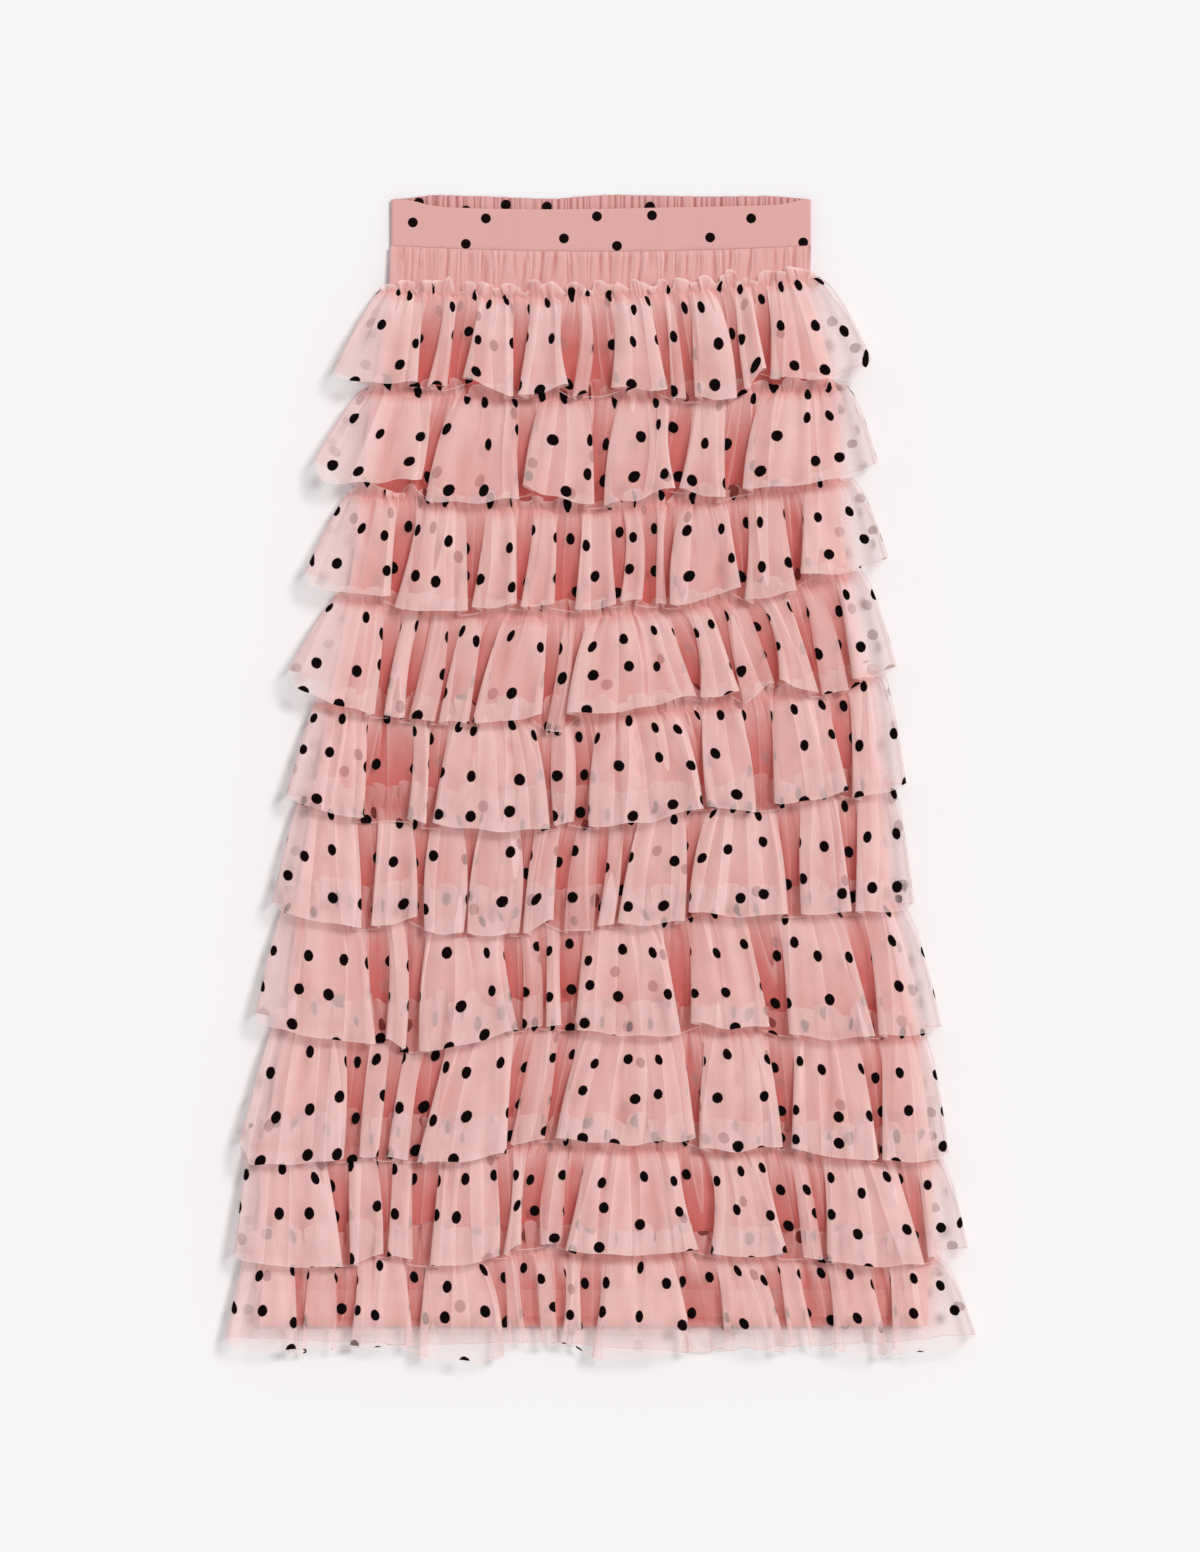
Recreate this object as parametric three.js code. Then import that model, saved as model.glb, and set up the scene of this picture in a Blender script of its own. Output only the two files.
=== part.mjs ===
import * as THREE from "three";

// A ten-tier gathered tulle skirt laid flat on its back, in millimetres. +X is the viewer's right,
// +Y runs towards the waist and +Z is up from the surface. The underside that rests is at z = 0.

// Cloth walls and the gap left at every seam
const TULLE_WALL = 1;
const BAND_WALL = 2;
const SEAM_GAP = 0.3;

// Waistband
const BAND_HALF_WIDTH = 176;
const BAND_TOP = 484;
const BAND_BOTTOM = 445;
const BAND_BOW = 5;
const BACK_BAND_TOP = 489;
const RUCHES = 20;
const RUCHE_DEPTH = 1;
// How far the front and the back band's top edges dip, as [share of the width, mm]
const FRONT_DIP = [
  [0, 0],
  [0.03, 0.3],
  [0.06, 2],
  [0.09, 5],
  [0.13, 6.6],
  [0.22, 7.9],
  [0.34, 8.6],
  [0.5, 8.1],
  [0.7, 6.6],
  [0.86, 5.4],
  [0.92, 4.8],
  [0.95, 3],
  [0.975, 0.7],
  [1, 0],
];
const BACK_DIP = [
  [0, 4.2],
  [0.04, 3.4],
  [0.1, 0.6],
  [0.21, 1.7],
  [0.3, 3],
  [0.39, 4],
  [0.45, 2],
  [0.52, 0],
  [0.73, 2],
  [0.91, 1.5],
  [0.97, 3.4],
  [1, 4.6],
];

// Base skirt and lining
const BASE_INSET = 7;
const BASE_BOTTOM = -430;
const LINING_BOTTOM = -461;
const YOKE_GATHERS = 16;
const YOKE_GATHER_DEPTH = 1.2;
const YOKE_GATHER_END = 424;
const LINING_SECTIONS = 6;

// Height of the middle of each layer, at the waist and over the body of the skirt
const SETTLE_END = 405;
const LAYERS = {
  backTier: { waist: 0.5, body: 6.5 },
  backBase: { waist: 1.8, body: 7.8 },
  backLining: { waist: 3.1, body: 9.1 },
  frontLining: { waist: 4.4, body: 10.4 },
  frontBase: { waist: 5.7, body: 11.7 },
  frontTier: { waist: 7, body: 13 },
};
const BACK_BAND_HEIGHT = 1.5;
const FRONT_BAND_HEIGHT = 5.4;
const SIDE_SEAM_HEIGHT = 10;

// Ruffle form
const FRILL = 7;
const FRILL_LIFT = 2;
const ROLL = 6;
const ROLL_SHARE = 0.2;
const TUCK = 9;
const TUCK_SHARE = 0.3;
const TUCK_TO_RISE = 0.6;
const SHOULDER = 0.93;
const BULGE = 0.5;
const WIDE_FOLD = 30;
const BOW_SHARE = 0.04;
const VALLEY_DROP = 3;
const FRONT_ROWS = [0, 0.35, 1];
const GATHER_SPREAD = 0.6;
const FLOOR_EASE = 1.2;
const CREST_EASE = 0.9;
// A ruffle's sides bow outwards: the power of the share of the way down, at its left and right
const LEFT_BOW = 0.85;
const RIGHT_BOW = 0.7;

// Back ruffles are pressed flat on the surface from this share of their length to the hem
const BACK_ROWS = [0, 0.6, 1];
const BACK_PRESSED = 0.5;
const BACK_VALLEY = 3.2;
const BACK_TUCK = 1.5;
const BACK_OVERLAP = 4;
const FLAT_SNAP = 0.02;
const MITRE_LIMIT = 0.35;

const COLOURS = { band: 0xe3aba8, base: 0xdc9f9b, lining: 0xd98882, tulle: 0xe8b9b5 };
const ROUGHNESS = { band: 0.8, base: 0.9, lining: 0.7, tulle: 0.85 };

function table(columns, rows) {
  const names = columns.split(" ");
  return rows.map((row) => Object.fromEntries(names.map((name, i) => [name, row[i]])));
}

// One row for each tier, from the waist down: its stitch line and hem at the left, middle and
// right, and how far its hem is held off the base by the tier below.
const TIERS = table(
  "headLeft headRight headLeftY headMidY headRightY hemLeft hemRight cornerLeftY cornerRightY hemY floor",
  [
    [-186, 184, 406, 401, 417, -223, 226, 340, 348, 333, 10],
    [-202, 208, 322, 316, 326, -239, 231, 265, 263, 244, 10],
    [-213, 211, 236, 223, 249, -247, 240, 171, 183, 152, 10],
    [-223, 218, 150, 134, 171, -261, 247, 89, 92, 64, 10],
    [-240, 238, 60, 50, 84, -263, 255, -16, -6, -27, 10],
    [-253, 245, -20, -30, -6, -275, 262, -106, -107, -119, 10],
    [-266, 254, -108, -116, -108, -289, 285, -199, -210, -213, 10],
    [-274, 273, -209, -211, -220, -302, 291, -306, -316, -314, 10],
    [-295, 287, -311, -312, -324, -307, 307, -400, -396, -401, 10],
    [-298, 286, -400, -402, -405, -314, 314, -471, -469, -478, 2],
  ],
);

// One row for each fold of a front ruffle, from left to right: the open gap before it, its width
// and rise, and how far its left and right edges hang below the tier's hem line.
const FOLD_COLUMNS = "gap width rise left right";
const FRONT_FOLDS = [
  [
    [0, 71, 15, 0, 4],
    [8, 17, 9, 6, 8],
    [13, 43, 14, 0, 15],
    [4, 43, 16, 15, 7],
    [3, 13, 6, 15, 14],
    [20, 48, 16, 8, 10],
    [3, 13, 8, 17, 17],
    [7, 36, 12, 17, 17],
    [6, 19, 13, 8, -7],
    [3, 86, 18, 0, -2],
  ],
  [
    [0, 91, 16, -5, -4],
    [3, 80, 11, 14, 12],
    [3, 61, 16, 3, 17],
    [8, 61, 14, 17, 3],
    [3, 40, 13, 4, 12],
    [14, 115, 18, 4, -13],
  ],
  [
    [0, 72, 15, -8, 1],
    [3, 62, 16, 11, 14],
    [3, 38, 14, 12, 8],
    [3, 29, 10, 11, 8],
    [17, 35, 12, 13, 9],
    [3, 19, 9, 6, 5],
    [11, 9, 6, 8, 8],
    [3, 60, 17, 9, -5],
    [3, 44, 13, 5, -3],
    [3, 74, 18, -17, -24],
  ],
  [
    [0, 74, 16, -13, 12],
    [8, 18, 12, 13, 15],
    [3, 23, 7, 17, 18],
    [3, 26, 13, 18, 20],
    [3, 60, 16, 19, 13],
    [3, 15, 6, 26, 26],
    [3, 112, 18, 12, -3],
    [3, 34, 12, -2, -6],
    [3, 27, 7, 2, -14],
    [4, 34, 15, -16, -6],
    [3, 23, 8, -4, -8],
    [3, 38, 17, -18, -24],
  ],
  [
    [0, 65, 15, -8, 8],
    [36, 16, 13, 8, 13],
    [5, 98, 17, 13, 17],
    [3, 17, 10, 14, 11],
    [12, 96, 18, 15, 0],
    [3, 41, 14, -2, 2],
    [15, 62, 16, -4, -14],
    [3, 45, 14, -9, -19],
  ],
  [
    [0, 76, 15, -9, 7],
    [8, 39, 13, 6, -1],
    [6, 33, 15, 10, 13],
    [3, 44, 14, 13, 12],
    [3, 26, 16, 12, 1],
    [9, 25, 5, 10, 10],
    [3, 14, 10, 6, 5],
    [3, 57, 16, 4, 2],
    [3, 84, 18, -6, -4],
    [11, 43, 15, -4, -6],
    [3, 50, 14, -6, -9],
  ],
  [
    [0, 101, 16, -8, 10],
    [8, 17, 10, 6, 14],
    [11, 83, 18, 16, -1],
    [3, 17, 6, -3, -4],
    [3, 13, 10, -4, -5],
    [11, 89, 17, -2, 3],
    [8, 66, 16, -7, -4],
    [16, 72, 17, 3, 4],
    [3, 53, 14, 3, -1],
  ],
  [
    [0, 87, 16, 6, 6],
    [13, 16, 12, 4, 4],
    [7, 18, 9, 5, 6],
    [7, 75, 17, 8, 1],
    [3, 29, 7, -6, -11],
    [9, 117, 18, -12, -11],
    [3, 70, 15, -3, -5],
    [7, 73, 17, -3, 6],
    [3, 56, 14, 7, 4],
  ],
  [
    [0, 92, 15, 2, 8],
    [6, 28, 13, 6, -2],
    [3, 22, 9, 0, 3],
    [14, 59, 17, 8, 0],
    [3, 15, 9, -2, -9],
    [16, 18, 7, -10, -10],
    [3, 112, 18, -5, -6],
    [10, 65, 15, -2, -2],
    [13, 17, 7, 1, 3],
    [3, 82, 17, 4, 6],
    [3, 34, 13, 2, 0],
  ],
  [
    [0, 61, 14, -1, 2],
    [3, 29, 7, 2, 0],
    [12, 54, 14, -2, -2],
    [3, 73, 17, 7, 8],
    [3, 17, 7, -4, -4],
    [13, 12, 8, -4, -4],
    [3, 18, 10, -4, -2],
    [8, 86, 18, 8, 2],
    [26, 52, 15, -5, 2],
    [3, 23, 9, -3, -2],
    [15, 46, 16, 1, 6],
    [3, 71, 15, 2, -3],
  ],
].map((rows) => table(FOLD_COLUMNS, rows));

// The back has fewer, broader folds. Each tier starts further along this list, so no two match.
const BACK_FOLDS = table(FOLD_COLUMNS, [
  [8, 78, 1, 0, 6],
  [15, 104, 0.8, 5, -2],
  [10, 62, 1, -2, 4],
  [19, 120, 0.9, 3, 0],
  [12, 91, 1, 0, -3],
]);

const lerp = THREE.MathUtils.lerp;

// A height between the waist's and the body's, by how far down the skirt a point lies.
function layerHeight(layer, y) {
  const settled = THREE.MathUtils.clamp((BAND_BOTTOM - y) / (BAND_BOTTOM - SETTLE_END), 0, 1);
  return lerp(layer.waist, layer.body, settled);
}

// The value at a share, straight between the rows [share, value] of a list.
function valueAt(rows, share) {
  const next = Math.max(rows.findIndex(([at]) => at >= share), 1);
  const [from, to] = [rows[next - 1], rows[next]];
  return lerp(from[1], to[1], (share - from[0]) / (to[0] - from[0]));
}

// Unit normal of the cloth quad whose first corner is at row i, column j.
function quadNormal(rows, i, j) {
  const falling = rows[i + 1][j + 1].clone().sub(rows[i][j]);
  const rising = rows[i][j + 1].clone().sub(rows[i + 1][j]);
  return falling.cross(rising).normalize();
}

// Mean normal of the quads above and below a point, on the side given by column j.
function sideNormal(rows, i, j) {
  const sum = new THREE.Vector3();
  if (i > 0) sum.add(quadNormal(rows, i - 1, j));
  if (i < rows.length - 1) sum.add(quadNormal(rows, i, j));
  return sum.normalize();
}

// The way out of the cloth at a point, long enough that both faces beside it keep the wall.
function mitre(rows, i, j) {
  const last = rows[0].length - 1;
  const left = sideNormal(rows, i, Math.max(j - 1, 0));
  const right = sideNormal(rows, i, Math.min(j, last - 1));
  const spread = Math.max(1 + left.dot(right), MITRE_LIMIT);
  return left.add(right).divideScalar(spread);
}

// A closed wall about a grid of points. Rows run from the waist to the hem, columns from the left.
function clothWall(rows, thickness) {
  const columns = rows[0].length;
  const positions = [];
  for (const side of [1, -1]) {
    rows.forEach((row, i) =>
      row.forEach((point, j) => {
        const moved = point.clone().addScaledVector(mitre(rows, i, j), (side * thickness) / 2);
        positions.push(moved.x, moved.y, moved.z < FLAT_SNAP ? 0 : moved.z);
      }),
    );
  }
  const under = rows.length * columns;
  const indices = [];
  const quad = (a, b, c, d) => indices.push(a, b, c, a, c, d);
  const rim = (from, to) => quad(from, to, to + under, from + under);
  for (let i = 0; i < rows.length - 1; i += 1) {
    for (let j = 0; j < columns - 1; j += 1) {
      const a = i * columns + j;
      const d = a + columns;
      quad(a, d, d + 1, a + 1);
      quad(a + under, a + 1 + under, d + 1 + under, d + under);
    }
  }
  const lastRow = (rows.length - 1) * columns;
  for (let j = 0; j < columns - 1; j += 1) {
    rim(j, j + 1);
    rim(lastRow + j + 1, lastRow + j);
  }
  for (let i = 0; i < rows.length - 1; i += 1) {
    const left = i * columns;
    const right = left + columns - 1;
    rim(left + columns, left);
    rim(right, right + columns);
  }
  const geometry = new THREE.BufferGeometry();
  geometry.setAttribute("position", new THREE.Float32BufferAttribute(positions, 3));
  geometry.setIndex(indices);
  geometry.computeVertexNormals();
  return geometry;
}

// A grid of points from a function of the column's share across and the row's value.
function grid(rowValues, shares, pointAt) {
  return rowValues.map((value) => shares.map((share) => pointAt(share, value)));
}

function evenShares(sections) {
  return Array.from({ length: sections + 1 }, (_, i) => i / sections);
}

// Height up the skirt of a tier's stitch line, which sags between its ends.
function headY(tier, share) {
  const straight = lerp(tier.headLeftY, tier.headRightY, share);
  const sag = tier.headMidY - (tier.headLeftY + tier.headRightY) / 2;
  return straight + 4 * share * (1 - share) * sag;
}

// Position of each fold's edges along the hem, fitted to the tier's own width.
function placeFolds(tier, folds) {
  const drawn = folds.reduce((sum, fold, i) => sum + fold.width + (i ? fold.gap : 0), 0);
  const scale = (tier.hemRight - tier.hemLeft) / drawn;
  let x = tier.hemLeft;
  return folds.map((fold, i) => {
    const start = x + (i ? fold.gap * scale : 0);
    x = start + fold.width * scale;
    return { ...fold, start, end: x };
  });
}

// Section points of a front ruffle at its hem: each fold is a crown between two shoulders, its
// sides bulge out and then tuck back to the valley. The outer two sides drop to the side seams.
function frontSection(tier, folds) {
  const knots = [{ x: tier.hemLeft, rise: 0, y: tier.cornerLeftY, seam: true }];
  placeFolds(tier, folds).forEach((fold, i) => {
    const width = fold.end - fold.start;
    const roll = Math.min(ROLL, ROLL_SHARE * width);
    const tuck = Math.min(TUCK, TUCK_SHARE * width, TUCK_TO_RISE * fold.rise);
    const leftY = tier.hemY - fold.left;
    const rightY = tier.hemY - fold.right;
    const first = i === 0;
    const last = i === folds.length - 1;
    if (!first) knots.push({ x: fold.start + tuck, rise: 0, y: leftY - VALLEY_DROP });
    knots.push({ x: fold.start, rise: BULGE * fold.rise, y: first ? tier.cornerLeftY : leftY });
    knots.push({ x: fold.start + roll, rise: SHOULDER * fold.rise, y: leftY });
    if (width > WIDE_FOLD) {
      const bow = BOW_SHARE * width;
      knots.push({ x: (fold.start + fold.end) / 2, rise: fold.rise, y: (leftY + rightY) / 2 - bow });
    }
    knots.push({ x: fold.end - roll, rise: SHOULDER * fold.rise, y: rightY });
    knots.push({ x: fold.end, rise: BULGE * fold.rise, y: last ? tier.cornerRightY : rightY });
    if (!last) knots.push({ x: fold.end - tuck, rise: 0, y: rightY - VALLEY_DROP });
  });
  knots.push({ x: tier.hemRight, rise: 0, y: tier.cornerRightY, seam: true });
  return knots;
}

// Section points of a back ruffle: each fold is pressed flat on the surface, and its valleys stand
// off it. A rise of 0 rests, and a rise of 1 is the full depth of the valley. The hem hangs over the
// next tier's stitch line.
function backSection(tier, folds, next) {
  const across = (x) => (x - tier.hemLeft) / (tier.hemRight - tier.hemLeft);
  const hemAt = (x) => (next ? headY(next, across(x)) - BACK_OVERLAP : tier.hemY);
  const knots = [{ x: tier.hemLeft, rise: 0, y: tier.cornerLeftY, seam: true }];
  placeFolds(tier, folds).forEach((fold, i) => {
    const first = i === 0;
    const last = i === folds.length - 1;
    const leftY = first ? tier.cornerLeftY : hemAt(fold.start) - fold.left;
    const rightY = last ? tier.cornerRightY : hemAt(fold.end) - fold.right;
    if (!first) knots.push({ x: fold.start + BACK_TUCK, rise: fold.rise, y: leftY });
    knots.push({ x: fold.start, rise: 0, y: leftY });
    knots.push({ x: fold.end, rise: 0, y: rightY });
    if (!last) knots.push({ x: fold.end - BACK_TUCK, rise: fold.rise, y: rightY });
  });
  knots.push({ x: tier.hemRight, rise: 0, y: tier.cornerRightY, seam: true });
  return knots;
}

// Share of the strip's cut length up to each knot, which is where its gathers meet the stitch line.
function strip(knots) {
  const reach = [0];
  for (let i = 1; i < knots.length; i += 1) {
    const seam = knots[i].seam || knots[i - 1].seam;
    const step = Math.hypot(knots[i].x - knots[i - 1].x, knots[i].rise - knots[i - 1].rise);
    reach.push(reach[i - 1] + (seam ? 0 : step));
  }
  const length = reach[reach.length - 1];
  return knots.map((knot, i) => ({ ...knot, share: reach[i] / length }));
}

// X and Y of a knot at a share of the ruffle's length from the stitch line to the hem. Gathers
// spread quickly from even spacing at the stitching to the folds' own places.
function rufflePlace(tier, knot, down) {
  const left = lerp(tier.headLeft, tier.hemLeft, down ** LEFT_BOW);
  const right = lerp(tier.headRight, tier.hemRight, down ** RIGHT_BOW);
  const atHem = (knot.x - tier.hemLeft) / (tier.hemRight - tier.hemLeft);
  const across = lerp(knot.share, atHem, down ** GATHER_SPREAD);
  const y = lerp(headY(tier, knot.share), knot.y, down);
  return new THREE.Vector3(lerp(left, right, across), y, 0);
}

function frontRuffle(tier, folds) {
  const knots = strip(frontSection(tier, folds));
  const seamHeight = SIDE_SEAM_HEIGHT + SEAM_GAP / 2;
  const frill = knots.map((knot) => {
    const point = rufflePlace(tier, knot, 0);
    point.y += FRILL;
    point.z = layerHeight(LAYERS.frontTier, point.y) + (knot.rise ? FRILL_LIFT : 0);
    if (knot.seam) point.z = seamHeight;
    return point;
  });
  const body = FRONT_ROWS.map((down) =>
    knots.map((knot) => {
      const point = rufflePlace(tier, knot, down);
      const lift = tier.floor * down ** FLOOR_EASE + knot.rise * down ** CREST_EASE;
      point.z = knot.seam ? seamHeight : layerHeight(LAYERS.frontTier, point.y) + lift;
      return point;
    }),
  );
  return clothWall([frill, ...body], TULLE_WALL);
}

function backRuffle(tier, folds, next) {
  const knots = strip(backSection(tier, folds, next));
  const seamHeight = SIDE_SEAM_HEIGHT - SEAM_GAP / 2;
  const rest = TULLE_WALL / 2;
  const rows = BACK_ROWS.map((down) =>
    knots.map((knot) => {
      const point = rufflePlace(tier, knot, down);
      const pressed = THREE.MathUtils.smoothstep(down, 0, BACK_PRESSED);
      const lowest = rest + knot.rise * BACK_VALLEY;
      const height = lerp(layerHeight(LAYERS.backTier, point.y), lowest, pressed);
      point.z = knot.seam ? seamHeight : height;
      return point;
    }),
  );
  return clothWall(rows, TULLE_WALL);
}

// Side edges of the base skirt and lining at each height, just inside the tiers' stitch lines.
function baseEdges(y) {
  const stations = [
    { y: BAND_BOTTOM, left: -BAND_HALF_WIDTH, right: BAND_HALF_WIDTH },
    ...TIERS.map((tier) => ({
      y: tier.headMidY,
      left: tier.headLeft + BASE_INSET,
      right: tier.headRight - BASE_INSET,
    })),
  ];
  let below = stations.findIndex((station) => station.y < y);
  if (below < 1) below = below < 0 ? stations.length - 1 : 1;
  const [a, b] = [stations[below - 1], stations[below]];
  const share = (a.y - y) / (a.y - b.y);
  return { left: lerp(a.left, b.left, share), right: lerp(a.right, b.right, share) };
}

function bandBottomAt(share) {
  return BAND_BOTTOM - 4 * share * (1 - share) * BAND_BOW;
}

// A panel hung from the waistband's lower edge, with gathers that stand away from the body.
function skirtPanel(layer, bottom, sections, gatherDepth) {
  const middle = TIERS[4].headMidY;
  const rowValues = [BAND_BOTTOM, YOKE_GATHER_END, SETTLE_END, middle, bottom];
  const rows = rowValues.map((value, row) =>
    evenShares(sections).map((share, column) => {
      const edges = baseEdges(value);
      const y = row === 0 ? bandBottomAt(share) - SEAM_GAP : value;
      const gather = row === 0 && column % 2 ? gatherDepth : 0;
      return new THREE.Vector3(lerp(edges.left, edges.right, share), y, layerHeight(layer, y) + gather);
    }),
  );
  return clothWall(rows, TULLE_WALL);
}

// The smooth front waistband, whose top edge dips between its ends.
function frontBand() {
  const shares = FRONT_DIP.map(([share]) => share);
  const rows = grid(["top", "bottom"], shares, (share, edge) => {
    const y = edge === "top" ? BAND_TOP - valueAt(FRONT_DIP, share) : bandBottomAt(share);
    return new THREE.Vector3(lerp(-BAND_HALF_WIDTH, BAND_HALF_WIDTH, share), y, FRONT_BAND_HEIGHT);
  });
  return clothWall(rows, BAND_WALL);
}

// The elasticated back waistband, ruched from side to side.
function backBand() {
  const columns = evenShares(2 * RUCHES);
  const rows = ["top", "bottom"].map((edge) =>
    columns.map((share, column) => {
      const y = edge === "top" ? BACK_BAND_TOP - valueAt(BACK_DIP, share) : bandBottomAt(share);
      const height = BACK_BAND_HEIGHT + (column % 2 ? RUCHE_DEPTH : -RUCHE_DEPTH);
      return new THREE.Vector3(lerp(-BAND_HALF_WIDTH, BAND_HALF_WIDTH, share), y, height);
    }),
  );
  return clothWall(rows, TULLE_WALL);
}

const skirt = new THREE.Group();

function addPiece(name, geometry, cloth) {
  const material = new THREE.MeshStandardMaterial({
    color: COLOURS[cloth],
    roughness: ROUGHNESS[cloth],
    metalness: 0,
    side: THREE.DoubleSide,
  });
  const piece = new THREE.Mesh(geometry, material);
  piece.name = name;
  skirt.add(piece);
}

addPiece("waistband_front", frontBand(), "band");
addPiece("waistband_back", backBand(), "band");
addPiece(
  "foundation_front",
  skirtPanel(LAYERS.frontBase, BASE_BOTTOM, 2 * YOKE_GATHERS, YOKE_GATHER_DEPTH),
  "base",
);
addPiece(
  "foundation_back",
  skirtPanel(LAYERS.backBase, BASE_BOTTOM, 2 * YOKE_GATHERS, -YOKE_GATHER_DEPTH),
  "base",
);
addPiece("lining_front", skirtPanel(LAYERS.frontLining, LINING_BOTTOM, LINING_SECTIONS, 0), "lining");
addPiece("lining_back", skirtPanel(LAYERS.backLining, LINING_BOTTOM, LINING_SECTIONS, 0), "lining");

TIERS.forEach((tier, i) => {
  const number = String(i + 1).padStart(2, "0");
  const shift = (2 * i) % BACK_FOLDS.length;
  const backFolds = [...BACK_FOLDS.slice(shift), ...BACK_FOLDS.slice(0, shift)];
  addPiece(`tier_${number}_front`, frontRuffle(tier, FRONT_FOLDS[i]), "tulle");
  addPiece(`tier_${number}_back`, backRuffle(tier, backFolds, TIERS[i + 1]), "tulle");
});

export default skirt;
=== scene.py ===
# %% [markdown]
# A tulle skirt, laid flat
#
# The skirt is ten gathered ruffles of dotted net, sewn to a plain base skirt with a lining under it
# and a waistband on top. It lies on its back on a pale floor and is seen from straight above. Every
# size is in millimetres until the last moment, when the mesh is made, because a maker thinks in
# millimetres and Blender in metres.

import bpy
import numpy as np
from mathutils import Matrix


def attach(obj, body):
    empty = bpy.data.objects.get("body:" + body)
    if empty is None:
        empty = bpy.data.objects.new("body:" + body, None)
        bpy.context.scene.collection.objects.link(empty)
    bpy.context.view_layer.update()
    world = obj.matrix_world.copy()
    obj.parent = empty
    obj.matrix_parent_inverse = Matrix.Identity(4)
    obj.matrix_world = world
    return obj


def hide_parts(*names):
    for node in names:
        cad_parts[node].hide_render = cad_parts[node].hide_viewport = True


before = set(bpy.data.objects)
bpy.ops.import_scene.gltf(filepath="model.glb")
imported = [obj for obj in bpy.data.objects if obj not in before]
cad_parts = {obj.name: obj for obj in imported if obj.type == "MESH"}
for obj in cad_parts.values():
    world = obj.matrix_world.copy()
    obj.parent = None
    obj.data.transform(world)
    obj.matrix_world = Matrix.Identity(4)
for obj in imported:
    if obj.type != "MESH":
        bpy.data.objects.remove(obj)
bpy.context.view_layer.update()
MM = 0.001

# %% [markdown]
# The garment's own sizes come first. Each tier has a row with the two ends and the middle of its
# stitch line, its hem, and how far the tier below holds that hem up. Each fold of a front ruffle has
# a row too, read off the garment: the open gap before it, its width, its rise, and how far its
# edges hang below the hem line. They are the same tables as the solids use, so cloth and solid agree.

# %% Sizes of the waistband, the base and the layers
BAND_HALF_WIDTH = 176
BAND_TOP = 484
BAND_BOTTOM = 445
BAND_BOW = 5
BAND_THICKNESS = 2
BACK_BAND_TOP = 489
BACK_BAND_HEIGHT = 1.5
FRONT_BAND_HEIGHT = 5.4
BASE_INSET = 7
BASE_BOTTOM = -430
LINING_BOTTOM = -461
SETTLE_END = 405
SIDE_SEAM_HEIGHT = 10
# Height of the middle of each layer: at the waist, and over the body of the skirt
BACK_TIER = (0.5, 6.5)
BACK_BASE = (1.8, 7.8)
BACK_LINING = (3.1, 9.1)
FRONT_LINING = (4.4, 10.4)
FRONT_BASE = (5.7, 11.7)
FRONT_TIER = (7, 13)


# %% Tables of the tiers and their folds
def table(columns, rows):
    """A dictionary of one array for each named column."""
    return dict(zip(columns.split(), np.array(rows, dtype=float).T))


TIER_COLUMNS = (
    "head_left head_right head_left_y head_mid_y head_right_y "
    "hem_left hem_right corner_left_y corner_right_y hem_y floor"
)
TIERS = table(
    TIER_COLUMNS,
    [
        [-186, 184, 406, 401, 417, -223, 226, 340, 348, 333, 10],
        [-202, 208, 322, 316, 326, -239, 231, 265, 263, 244, 10],
        [-213, 211, 236, 223, 249, -247, 240, 171, 183, 152, 10],
        [-223, 218, 150, 134, 171, -261, 247, 89, 92, 64, 10],
        [-240, 238, 60, 50, 84, -263, 255, -16, -6, -27, 10],
        [-253, 245, -20, -30, -6, -275, 262, -106, -107, -119, 10],
        [-266, 254, -108, -116, -108, -289, 285, -199, -210, -213, 10],
        [-274, 273, -209, -211, -220, -302, 291, -306, -316, -314, 10],
        [-295, 287, -311, -312, -324, -307, 307, -400, -396, -401, 10],
        [-298, 286, -400, -402, -405, -314, 314, -471, -469, -478, 2],
    ],
)
TIER_COUNT = len(TIERS["floor"])

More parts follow.
